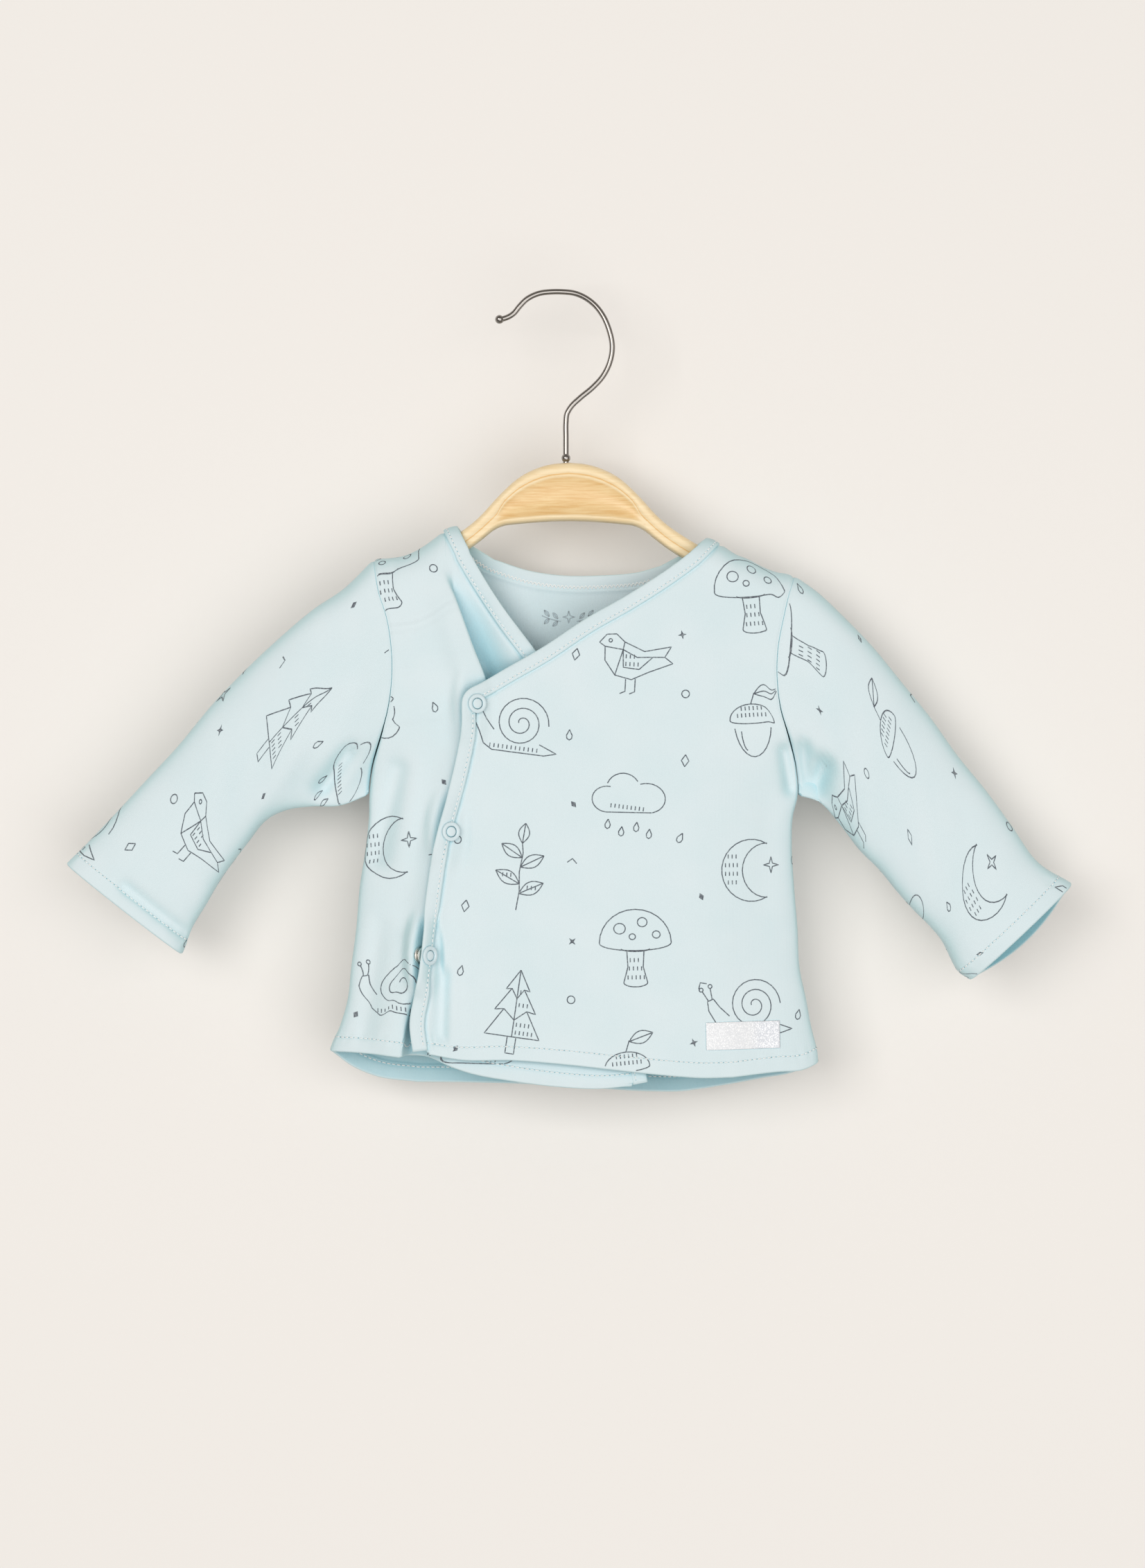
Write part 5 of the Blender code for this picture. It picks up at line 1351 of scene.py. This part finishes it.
class Growth:
    """A Geometry Nodes group under work; its inputs are named with their kinds."""

    def __init__(self, name, inputs):
        self.group = bpy.data.node_groups.new(name, "GeometryNodeTree")
        sockets = self.group.interface
        sockets.new_socket("Geometry", in_out="OUTPUT", socket_type="NodeSocketGeometry")
        sockets.new_socket("Geometry", in_out="INPUT", socket_type="NodeSocketGeometry")
        for key, kind in inputs.items():
            sockets.new_socket(key, in_out="INPUT", socket_type="NodeSocket" + kind)
        self.given = self.node("NodeGroupInput").outputs

    def node(self, kind, sources=(), **settings):
        return add_node(self.group, kind, sources, settings)

    def math(self, operation, first, second=0.0):
        return self.node("ShaderNodeMath", ((0, first), (1, second)),
                         operation=operation).outputs[0]

    def vector(self, operation, first, second):
        sources = ((0, first), ("Scale" if operation == "SCALE" else 1, second))
        return self.node("ShaderNodeVectorMath", sources, operation=operation).outputs[
            "Value" if operation == "DISTANCE" else "Vector"]

    def position(self):
        return self.node("GeometryNodeInputPosition").outputs[0]

    def attribute(self, name):
        return self.node("GeometryNodeInputNamedAttribute", (("Name", name),),
                         data_type="FLOAT_VECTOR").outputs[0]

    def random(self, low, high, seed):
        """Random vector between two."""
        return self.node("FunctionNodeRandomValue", ((0, low), (1, high), ("Seed", seed)),
                         data_type="FLOAT_VECTOR").outputs[0]

    def finish(self, geometry, material):
        """Instances made real, and the material set."""
        real = self.node("GeometryNodeRealizeInstances", ((0, geometry),)).outputs[0]
        painted = self.node("GeometryNodeSetMaterial", ((0, real), ("Material", material)))
        self.node("NodeGroupOutput", ((0, painted.outputs[0]),))

    def run(self, name, mesh, slot, values):
        """Let the group work on a mesh, and keep what it makes as a plain piece."""
        seedling = place_object(name, mesh)
        modifier = seedling.modifiers.new(self.group.name, "NODES")
        modifier.node_group = self.group
        for item in self.group.interface.items_tree:
            if item.in_out == "INPUT" and item.name in values:
                modifier[item.identifier] = values[item.name]
        bpy.context.view_layer.update()
        grown = bpy.data.meshes.new_from_object(
            seedling.evaluated_get(bpy.context.evaluated_depsgraph_get()))
        bpy.data.objects.remove(seedling)
        grown.name = name
        grown.shade_smooth()
        obj = place_object(name, grown)
        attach(obj, "root")
        return obj


def scattered(tree, kind, spacing, shift, jitter, lean):
    """Things of one kind on a half-drop grid in the plane, each a little off its place."""
    across, down = (size * MM for size in spacing)
    columns, rows = MOTIF_COLUMNS, round(MOTIF_ROWS * MOTIF_SPACING[1] / spacing[1])
    grid = tree.node("GeometryNodeMeshGrid", (
        ("Size X", across * (columns - 1)), ("Size Y", down * (rows - 1)),
        ("Vertices X", columns), ("Vertices Y", rows))).outputs[0]
    index = tree.node("GeometryNodeInputIndex").outputs[0]
    number = tree.math("FLOOR", tree.math("DIVIDE", index, float(rows)))
    low = tree.math("MULTIPLY", tree.math("FLOORED_MODULO", number, 2.0), -down / 2)
    offset = tree.node("ShaderNodeCombineXYZ", (("X", shift * MM), ("Y", low))).outputs[0]
    limit = (jitter * MM, jitter * MM, 0)
    loose = tree.random(tuple(-v for v in limit), limit, tree.given["Seed"])
    moved = tree.node("GeometryNodeSetPosition", ((0, grid), ("Offset", tree.vector(
        "ADD", tree.vector("ADD", offset, loose), tree.given["Shift"])))).outputs[0]
    things = tree.node("GeometryNodeCollectionInfo", (
        (0, tree.given[kind]), ("Separate Children", True), ("Reset Children", True))).outputs[0]
    step = tree.math("ADD", tree.math("MULTIPLY", index, PICK_DOWN),
                     tree.math("MULTIPLY", number, PICK_ACROSS))
    pick = tree.node("FunctionNodeFloatToInt", (
        (0, tree.math("ADD", tree.given["Seed"], step)),)).outputs[0]
    turn = tree.random((0, 0, -lean), (0, 0, lean), tree.given["Seed"])
    clear = tree.vector("DISTANCE", tree.position(), tree.given["Bare"])
    return tree.node("GeometryNodeInstanceOnPoints", (
        ("Points", moved), ("Instance", things), ("Pick Instance", True),
        ("Selection", tree.math("GREATER_THAN", clear, tree.given["Bare Reach"])),
        ("Instance Index", pick), ("Rotation", turn))).outputs[0]


def print_tree():
    """Motifs and marks scattered in the plane, then laid on the cloth by its flat map."""
    tree = Growth("print", {"Motifs": "Collection", "Marks": "Collection", "Cloth": "Object",
                            "Ink": "Material", "Seed": "Int", "Shift": "Vector", "Lift": "Float",
                            "Bare": "Vector", "Bare Reach": "Float"})
    motifs = scattered(tree, "Motifs", MOTIF_SPACING, 0.0, MOTIF_JITTER, MOTIF_LEAN)
    marks = scattered(tree, "Marks", MARK_SPACING, MOTIF_SPACING[0] / 2, MARK_JITTER, MARK_LEAN)
    both = tree.node("GeometryNodeJoinGeometry", ((0, motifs), (0, marks))).outputs[0]
    real = tree.node("GeometryNodeRealizeInstances", ((0, both),)).outputs[0]
    flat = tree.vector("ADD", tree.vector("SCALE", tree.position(), 1 / (FLAT_UNIT * MM)),
                       (0.5, 0.5, 0.0))
    skin = tree.node("GeometryNodeObjectInfo", ((0, tree.given["Cloth"]),)).outputs["Geometry"]

    def sampled(value):
        return tree.node("GeometryNodeSampleUVSurface", (
            ("Mesh", skin), ("Value", value), (2, tree.attribute("flat")), (3, flat)),
            data_type="FLOAT_VECTOR").outputs

    on_cloth = sampled(tree.position())
    away = tree.vector("SCALE", sampled(tree.attribute("out"))[0], tree.given["Lift"])
    off = tree.node("FunctionNodeBooleanMath", ((0, on_cloth[1]),), operation="NOT").outputs[0]
    kept = tree.node("GeometryNodeDeleteGeometry", ((0, real), ("Selection", off))).outputs[0]
    laid = tree.node("GeometryNodeSetPosition", (
        (0, kept), ("Position", tree.vector("ADD", on_cloth[0], away)))).outputs[0]
    tree.finish(laid, tree.given["Ink"])
    return tree


def skin_object(sheet):
    """The sheet's outer face alone, with its flat map, for the print to lie on."""
    mesh = bpy.data.meshes.new("skin")
    mesh.from_pydata((sheet.outside.reshape(-1, 3) * MM).tolist(), [],
                     quads(sheet.numbers).tolist())
    lay_flat(mesh, sheet.flat, sheet.corners)
    note(mesh, "out", sheet.out, "FLOAT_VECTOR")
    return place_object("skin", mesh)


def ink(name, colour, worn):
    """Matt ink, sunk into the knit: cloth shows through where it is worn thin."""
    paint = Paint(name, colour, 0.85)
    wear = paint.noise(paint.place("object"), 900.0, 3.0, 0.7)
    paint.set("Base Color", paint.mix(paint.ramp(wear, 0.45, 0.75, 0.0, worn), colour,
                                      (0.66, 0.76, 0.78)))
    return paint.material


TUCK_MIDDLE, TUCK_BARE = (-42.0, -172.0), 26.0   # the deep tuck by the top snap stays unprinted
# Each sheet, its print's seed, and how far the print is moved
SHEETS = {"back": (back, 3, (11, 8)), "front_under": (front_under, 5, (-64, 26)),
          "front_over": (front_over, 11, (7, 15)), "sleeve_right": (sleeve_right, 8, (20, 0)),
          "sleeve_left": (sleeve_left, 13, (-9, 12))}


def print_cloth():
    motifs, marks = (bpy.data.collections.new(name) for name in ("motifs", "marks"))
    for collection in (motifs, marks):
        bpy.context.scene.collection.children.link(collection)
    for number, draw in enumerate(MOTIFS):
        flat_object(f"motif_{number}", [ribbon(np.asarray(stroke) * MOTIF_SIZE)
                                        for stroke in draw()], motifs)
    for number, (outline, filled) in enumerate(MARKS):
        part = (outline[:-1], [range(len(outline) - 1)]) if filled else ribbon(outline)
        flat_object(f"mark_{number}", [part], marks)
    tree = print_tree()
    grey = ink("ink", (0.105, 0.12, 0.145), 0.5)
    printed = {}
    bare = np.array(TUCK_MIDDLE) - np.array(FLAT_MIDDLE)
    for name, (sheet, seed, shift) in SHEETS.items():
        skin = skin_object(sheet)
        printed[name] = tree.run("print_" + name, bpy.data.meshes.new(name), "jersey", {
            "Motifs": motifs, "Marks": marks, "Cloth": skin, "Ink": grey, "Seed": seed,
            "Shift": (shift[0] * MM, shift[1] * MM, 0.0), "Lift": INK_LIFT * MM,
            "Bare": (bare[0] * MM, bare[1] * MM, 0.0),
            "Bare Reach": TUCK_BARE * MM if sheet is front_under else 0.0})
        bpy.data.objects.remove(skin)
    for collection in (motifs, marks):
        for obj in list(collection.objects):
            bpy.data.objects.remove(obj)
        bpy.data.collections.remove(collection)
    return printed


NECK_AT, NECK_SIZE = (3.0, -163.5), 0.62
# A garland's leaves on each side: how far out, rise of the foot, rise of the tip above it
GARLAND = ((9, 0.5, 5), (9, -1.5, -4), (16, 2.5, 5), (16, 0.5, -4))


def print_neck():
    """A small garland in paler ink, in the place of the print inside the back neck."""
    strokes = star(0, 2, 5.0, 0.3)
    for side in (-1, 1):
        strokes += [arc(0, 42, 47 * side, 44, 242, 262)]
        for out, rise, tip in GARLAND:
            strokes += leaf(side * out, rise, side * (out + 4), rise + tip, 1.3)
    points, faces = gathered([ribbon(np.asarray(stroke) * NECK_SIZE) for stroke in strokes])
    x, z = points[:, 0] + NECK_AT[0], points[:, 1] + NECK_AT[1]
    place = on_panel("back", x, z) - (SKIN + INK_LIFT) * outward("back", x, z)
    return make_piece("print_neck", place, faces,
                      ink("neck_ink", (0.42, 0.50, 0.54), 0.4))


printed = print_cloth()
neck_print = print_neck()

# ---- Topstitching --------------------------------------------------------------------------------
# White polyester thread: straight stitches along the hems and the binding, and the coverstitch's
# loops inside the back neck.

STITCH_PITCH, STITCH_LONG, STITCH_FAT = 2.5, 1.85, 0.38
STITCH_LEAST, STITCH_MOST = (0.93, 0.85, 0.85), (1.05, 1.1, 1.1)    # of length, width and rise
STITCH_SIDES = 6
STITCH_PRESSED = 0.75       # its height over its width
STITCH_LIFT, BINDING_LIFT = 0.1, 0.08
# A stitch's rings: place along it from -0.5 to 0.5, fatness and rise
STITCH_RINGS = ((-0.5, 0.35, -0.6), (-0.4, 0.8, 0.0), (0.0, 1.0, 0.3), (0.4, 0.8, 0.0),
                (0.5, 0.35, -0.6))
# Dots of painted shade between stitches: width, fatness, ends and rise
SHADE_DOT_WIDE, SHADE_DOT_FAT, SHADE_DOT_END, SHADE_DOT_RISE = 0.55, 0.95, 0.2, -0.25
LOOP_PITCH, LOOP_LONG, LOOP_SWING = 1.0, 2.9, 1.0


def thread():
    paint = Paint("thread", (0.87, 0.90, 0.90), 0.6)
    twist = paint.noise(paint.place("object"), 2500.0, 2.0)
    paint.set("Normal", paint.bump(twist, 0.0001, 0.4))
    return paint.material


def stitch_object(rows):
    """One stitch, a unit long: place along it, fatness and rise of each of its rings."""
    fat = STITCH_FAT * MM
    points = [(at, fat * wide * math.cos(a), fat * (STITCH_PRESSED * wide * math.sin(a) + rise))
              for at, wide, rise in rows for a in full_turn(STITCH_SIDES)]
    mesh = bpy.data.meshes.new("stitch")
    mesh.from_pydata(points, [], tube_faces(np.arange(len(points)).reshape(len(rows), -1)))
    return place_object("stitch", mesh)


def stitch_tree():
    """Stitches laid end to end along rows of points, each turned to the cloth's outward way."""
    tree = Growth("stitching", {"Stitch": "Object", "Thread": "Material", "Pitch": "Float",
                                "Long": "Float", "Swing": "Float", "Seed": "Int"})
    curve = tree.node("GeometryNodeMeshToCurve", ((0, tree.given["Geometry"]),)).outputs[0]
    row = tree.node("GeometryNodeResampleCurve", ((0, curve), ("Length", tree.given["Pitch"])),
                    mode="LENGTH").outputs[0]
    tangent = tree.node("GeometryNodeInputTangent").outputs[0]
    upright = tree.node("FunctionNodeAxesToRotation", ((0, tree.attribute("up")), (1, tangent)),
                        primary_axis="Z", secondary_axis="X").outputs[0]
    index = tree.node("GeometryNodeInputIndex").outputs[0]
    side = tree.math("SUBTRACT", tree.math("MULTIPLY", tree.math("MODULO", index, 2.0), 2.0), 1.0)
    angle = tree.math("MULTIPLY", side, tree.given["Swing"])
    swing = tree.node("FunctionNodeAxisAngleToRotation", (
        ("Axis", (0, 0, 1)), ("Angle", angle))).outputs[0]
    turned = tree.node("FunctionNodeRotateRotation", ((0, upright), (1, swing)),
                       rotation_space="LOCAL").outputs[0]
    uneven = tree.random(STITCH_LEAST, STITCH_MOST, tree.given["Seed"])
    size = tree.vector("MULTIPLY", uneven, tree.node("ShaderNodeCombineXYZ", (
        ("X", tree.given["Long"]), ("Y", 1.0), ("Z", 1.0))).outputs[0])
    stitch = tree.node("GeometryNodeObjectInfo", ((0, tree.given["Stitch"]),)).outputs["Geometry"]
    tree.finish(tree.node("GeometryNodeInstanceOnPoints", (
        ("Points", row), ("Instance", stitch), ("Rotation", turned), ("Scale", size))).outputs[0],
        tree.given["Thread"])
    return tree


def rows_mesh(rows):
    """Rows of points and outward ways as a mesh of lines."""
    points, ups, edges, count = [], [], [], 0
    for line, up in rows:
        points.append(line)
        ups.append(up)
        edges += [(count + i, count + i + 1) for i in range(len(line) - 1)]
        count += len(line)
    mesh = bpy.data.meshes.new("rows")
    mesh.from_pydata((np.concatenate(points) * MM).tolist(), edges, [])
    note(mesh, "up", np.concatenate(ups), "FLOAT_VECTOR")
    return mesh


def hem_row(sheet, rise, side):
    """The line a given way above a sheet's hem, on its skin (side 1) or its reverse (side -1)."""
    above = above_hem(sheet.middle)
    cols = np.arange(above.shape[1])
    row = np.argmax(above < rise, axis=0)
    t = ((above[row - 1, cols] - rise) / (above[row - 1, cols] - above[row, cols]))[:, None]
    face = sheet.outside if side > 0 else sheet.inside
    line, up = (grid[row - 1, cols] * (1 - t) + grid[row, cols] * t for grid in (face, sheet.out))
    line, up = line + STITCH_LIFT * side * up, side * up
    if sheet.closed:
        return np.concatenate((line, line[:1])), np.concatenate((up, up[:1]))
    return line[1:-1], up[1:-1]


def binding_row(face, first, last):
    """The line along the binding's stitching, on its outer (face 1) or inner (face -1) side."""
    side = 1 - STITCH_IN / (BINDING_WIDTH / 2)
    rise = (1 - side**BINDING_POWER)**(1 / BINDING_POWER) * (1 - STITCH_DENT) * BINDING_THICK / 2
    line = (strip_centres + side * BINDING_WIDTH / 2 * strip_across
            + face * (rise + BINDING_LIFT) * strip_up)
    return line[first:last], face * strip_up[first:last]


# Painted shade for the dimples at the needle holes between stitches: dark teal dots.
def stitch_gap_shade():
    paint = Paint("stitch_gap_shade", (0.17, 0.36, 0.43), 0.95)
    blur = paint.noise(paint.place("object"), 700.0, 2.0)
    paint.set("Base Color", paint.mix(blur, (0.22, 0.42, 0.48), (0.34, 0.54, 0.60)))
    return paint.material


def stitch_all():
    """Each row's stitches, and dots of painted shade at the needle holes between them."""
    tree, white = stitch_tree(), thread()
    half = 0.5 * SHADE_DOT_WIDE / STITCH_PITCH
    stitch = stitch_object(STITCH_RINGS)
    shade_dot = stitch_object(((0.5 - half, SHADE_DOT_END, SHADE_DOT_RISE), (0.5, SHADE_DOT_FAT, SHADE_DOT_RISE),
                          (0.5 + half, SHADE_DOT_END, SHADE_DOT_RISE)))
    plain = {"Stitch": stitch, "Thread": white, "Pitch": STITCH_PITCH * MM,
             "Long": STITCH_LONG * MM, "Swing": 0.0, "Seed": 4}
    shade_dots = {**plain, "Stitch": shade_dot, "Thread": stitch_gap_shade(), "Long": STITCH_PITCH * MM}
    loops = {**plain, "Pitch": LOOP_PITCH * MM, "Long": LOOP_LONG * MM, "Swing": LOOP_SWING}
    rows = {name: [hem_row(sheet, HEM_STITCH, side) for side in (1.0, -1.0)]
            for name, (sheet, *_) in SHEETS.items()}
    rows["binding"] = [binding_row(1.0, 2, -2)]
    made = {name: [tree.run(kind + name, rows_mesh(lines), "jersey", values)
                   for kind, values in (("stitches_", plain), ("holes_", shade_dots))]
            for name, lines in rows.items()}
    made["binding"].append(tree.run("stitches_neck_loops", rows_mesh(
        [binding_row(-1.0, right_top, left_top)]), "jersey", loops))
    for obj in (stitch, shade_dot):
        bpy.data.objects.remove(obj)
    return made


stitched = stitch_all()

# Each sheet's cut is worked out here: what shows, with its seam and hem allowances; nothing uses it
# further

SEAM_ALLOWED, HEM_ALLOWED = 7.0, 11.0


def declare_cut(sheet):
    middle = sheet.middle
    if sheet.closed:
        middle = closed_round(middle)
    wide, tall = np.ptp(sheet.flat.reshape(-1, 2), axis=0)
    wide, tall = wide + 2 * SEAM_ALLOWED, tall + SEAM_ALLOWED + HEM_ALLOWED


declare_cut(back)
declare_cut(front_under)
declare_cut(front_over)
declare_cut(sleeve_right)
declare_cut(sleeve_left)

# ---- Ring snaps ----------------------------------------------------------------------------------
# Pressed brass prong snaps: an enamelled ring on the outside, which grips the cloth that shows in
# its middle; a socket behind it; and a stud set in the under front.

RING = ((2.85, 0.0), (2.85, 0.55), (2.93, 0.78), (3.15, 0.93), (3.6, 1.02), (4.0, 1.03),
        (4.4, 0.95), (4.68, 0.8), (4.8, 0.58), (4.8, 0.0))
DOME = ((0.0, 0.78), (0.8, 0.76), (1.6, 0.68), (2.1, 0.55), (2.45, 0.35), (2.6, 0.05), (2.6, -0.1),
        (0.0, -0.1))
SOCKET = ((1.9, 0.0), (3.2, 0.0), (4.0, -0.08), (4.4, -0.3), (4.45, -1.1), (4.2, -1.4), (3.4, -1.6),
          (1.9, -1.6))
STUD = ((0.0, 2.0), (0.9, 1.96), (1.3, 1.8), (1.5, 1.5), (1.4, 0.9), (4.4, 0.8), (4.75, 0.6),
        (4.8, 0.1), (4.7, 0.0), (0.0, 0.0))


SNAP_SIDES, SNAP_SHARP = 56, 50.0
STUD_LEVEL = 0.7            # of the stud's foot above the middle of the under front


def turned(profile):
    """Points and faces of a profile of radius and height, turned round Z; closed."""
    profile = np.asarray(profile, float)
    turn = full_turn(SNAP_SIDES)
    points = np.stack((profile[:, None, 0] * np.cos(turn), profile[:, None, 0] * np.sin(turn),
                       np.broadcast_to(profile[:, None, 1], (len(profile), SNAP_SIDES))), axis=-1)
    numbers = np.arange(points[..., 0].size).reshape(points.shape[:2])
    if profile[0, 0] > 0:
        numbers = np.concatenate((numbers, numbers[:1]))
    return points.reshape(-1, 3), quads(closed_round(numbers))


def make_snap_part(name, node, profile, centre, axis, level, material):
    points, faces = turned(profile)
    out = Vector(axis).to_track_quat("Z", "Y").to_matrix()
    points = points @ np.array(out).T + centre + axis * level
    obj = make_piece(name, points, faces, material)
    face_outward(obj, weld=1e-6)
    obj.data.set_sharp_from_angle(angle=math.radians(SNAP_SHARP))
    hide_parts(node)
    return obj


def specked(name, colour, metallic, scale, least, most):
    """A hard surface whose roughness varies in small specks."""
    paint = Paint(name, colour, (least + most) / 2, metallic)
    speck = paint.noise(paint.place("object"), scale)
    paint.set("Roughness", paint.ramp(speck, 0.3, 0.7, least, most))
    return paint.material


def make_snaps():
    ring_paint = specked("snap_enamel", (0.68, 0.81, 0.855), 0.0, 1500.0, 0.28, 0.4)
    metal = specked("snap_metal", (0.80, 0.78, 0.74), 1.0, 1800.0, 0.16, 0.32)
    for row in SNAPS:
        snap = dict(zip(SNAP_COLUMNS, row))
        turn = math.radians(snap["turn"])
        axis = np.array((math.sin(turn), -math.cos(turn), 0.0))
        centre = np.array((snap["x"], -snap_height(snap), snap["z"]))
        name = "snap_" + snap["name"]
        top = BINDING_THICK / 2 + SNAP_ROOM
        low = SNAP_STACK - STUD_LEVEL - SNAP_ROOM
        parts = (("ring", "cap", RING, top, "snap_enamel", ring_paint),
                 ("cloth", "cap", DOME, top, "jersey", cloth),
                 ("socket_ring", "socket", SOCKET, -top, "snap_metal", metal),
                 ("stud_post", "stud", STUD, -low, "snap_metal", metal))
        for kind, node, profile, level, slot, material in parts:
            make_snap_part(f"{name}_{kind}", f"{name}_{node}", profile, centre, axis, level,
                           material)


make_snaps()

# ---- Woven label ---------------------------------------------------------------------------------
# A small satin label with silver thread, left blank, sewn flat near the hem along its edges.

LABEL_WIDTH, LABEL_HEIGHT, LABEL_THICK = 36.8, 13.4, 0.5
LABEL_AT = (90.2, -373.0)
LABEL_TILT = 1.0            # degrees, right end up
LABEL_ROOM = 0.12           # between its back and the cloth


def label_satin():
    paint = Paint("label_satin", (0.80, 0.83, 0.86), 0.38)
    place = paint.place("flat", (1000, 1000, 1))
    sparkle = paint.node("TexVoronoi", (("Vector", place), ("Scale", 1.6))).outputs["Color"]
    # The lighter specks are painted glints of the silver thread; they are partly metal as well.
    glint = paint.ramp(sparkle, 0.5, 0.95)
    right = paint.ramp(paint.node("SeparateXYZ", ((0, place),)).outputs["X"], 505.0, 514.0, 0.25)
    plain = paint.mix(glint, (0.80, 0.82, 0.845), (0.95, 0.96, 0.98))
    silver = paint.mix(glint, (0.66, 0.69, 0.74), (1.0, 1.0, 1.0))
    paint.set("Base Color", paint.mix(right, plain, silver))
    paint.set("Metallic", paint.product(right, paint.ramp(sparkle, 0.55, 0.9, 0.15, 0.7)))
    return paint.material


def make_label():
    tilt = math.radians(LABEL_TILT)
    u, v = np.meshgrid(np.linspace(-0.5, 0.5, 60), np.linspace(0.5, -0.5, 24))
    run, fall = u * LABEL_WIDTH, v * LABEL_HEIGHT
    x = LABEL_AT[0] + run * math.cos(tilt) - fall * math.sin(tilt)
    z = LABEL_AT[1] + run * math.sin(tilt) + fall * math.cos(tilt)
    lift = SKIN + LABEL_THICK / 2 + LABEL_ROOM
    middle = on_panel("outer", x, z) + lift * outward("outer", x, z)
    flat = np.stack((run, fall), axis=-1) + FLAT_MIDDLE
    sheet = cloth_shell("label_satin", middle, flat, LABEL_THICK / 2, LABEL_THICK / 2,
                        label_satin())
    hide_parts("label")


make_label()

# ---- The room ------------------------------------------------------------------------------------
# An off-white plaster wall close behind, which is clear when seen from its back. Two large soft
# lights stand before it, upper left and lower right, and a third shows the back from behind.

WALL_Y, WALL_REACH = 48.0, 4000.0
MIDDLE = Vector((4.9, 0.0, -247.1)) * MM        # what camera and lights are turned to
CAMERA_AWAY = 2.0
FRAME_TALL = 0.792                              # what the picture takes in at the middle
SENSOR = 36.0
WORLD, WORLD_STRENGTH = (1.0, 0.94, 0.87), 0.31
# Place, side and power
LIGHTS = {
    "window": ((-1.3, -3.1, 0.2), 1.7, 40.5, (1.0, 0.985, 0.965)),
    "fill": ((0.95, -3.1, -0.6), 3.2, 58.5, (0.995, 0.99, 0.985)),
    "behind": ((0.6, 3.0, 0.5), 2.4, 24.0, (1.0, 0.98, 0.96)),
}


def make_wall():
    paint = Paint("wall", (0.895, 0.87, 0.84), 0.95)
    grain = paint.noise(paint.place("object"), 260.0, 4.0, 0.6)
    paint.set("Normal", paint.bump(grain, 0.0004, 0.15))
    behind = paint.node("NewGeometry").outputs["Backfacing"]
    clear = paint.node("BsdfTransparent").outputs["BSDF"]
    mix = paint.node("MixShader", ((0, behind), (1, paint.shader.outputs["BSDF"]), (2, clear)))
    output = next(n for n in paint.tree.nodes if n.type == "OUTPUT_MATERIAL")
    paint.tree.links.new(mix.outputs[0], output.inputs["Surface"])
    mesh = bpy.data.meshes.new("wall")
    corners = np.array(((-1, -1), (1, -1), (1, 1), (-1, 1))) * WALL_REACH * MM
    mesh.from_pydata([(x, WALL_Y * MM, z) for x, z in corners.tolist()], [], [(0, 1, 2, 3)])
    mesh.materials.append(paint.material)
    place_object("wall", mesh)


def add_light(name, at, side, power, colour):
    light = bpy.data.lights.new(name, "AREA")
    light.shape = "SQUARE"
    light.size = side
    light.energy = power
    light.color = colour
    obj = place_object(name, light)
    obj.location = at
    obj.rotation_euler = (MIDDLE - Vector(at)).to_track_quat("-Z", "Y").to_euler()


def make_room():
    make_wall()
    world = bpy.data.worlds.new("room")
    world.use_nodes = True
    background = world.node_tree.nodes["Background"].inputs
    background["Color"].default_value = (*WORLD, 1.0)
    background["Strength"].default_value = WORLD_STRENGTH
    bpy.context.scene.world = world
    for name, values in LIGHTS.items():
        add_light(name, *values)
    camera = bpy.data.cameras.new("camera")
    camera.sensor_fit = "VERTICAL"
    camera.sensor_height = SENSOR
    camera.lens = SENSOR * CAMERA_AWAY / FRAME_TALL
    view = place_object("camera", camera)
    view.location = MIDDLE + Vector((0, -CAMERA_AWAY, 0))
    view.rotation_euler = (math.pi / 2, 0, 0)
    bpy.context.scene.camera = view
    bpy.context.scene.view_settings.view_transform = "Standard"


make_room()
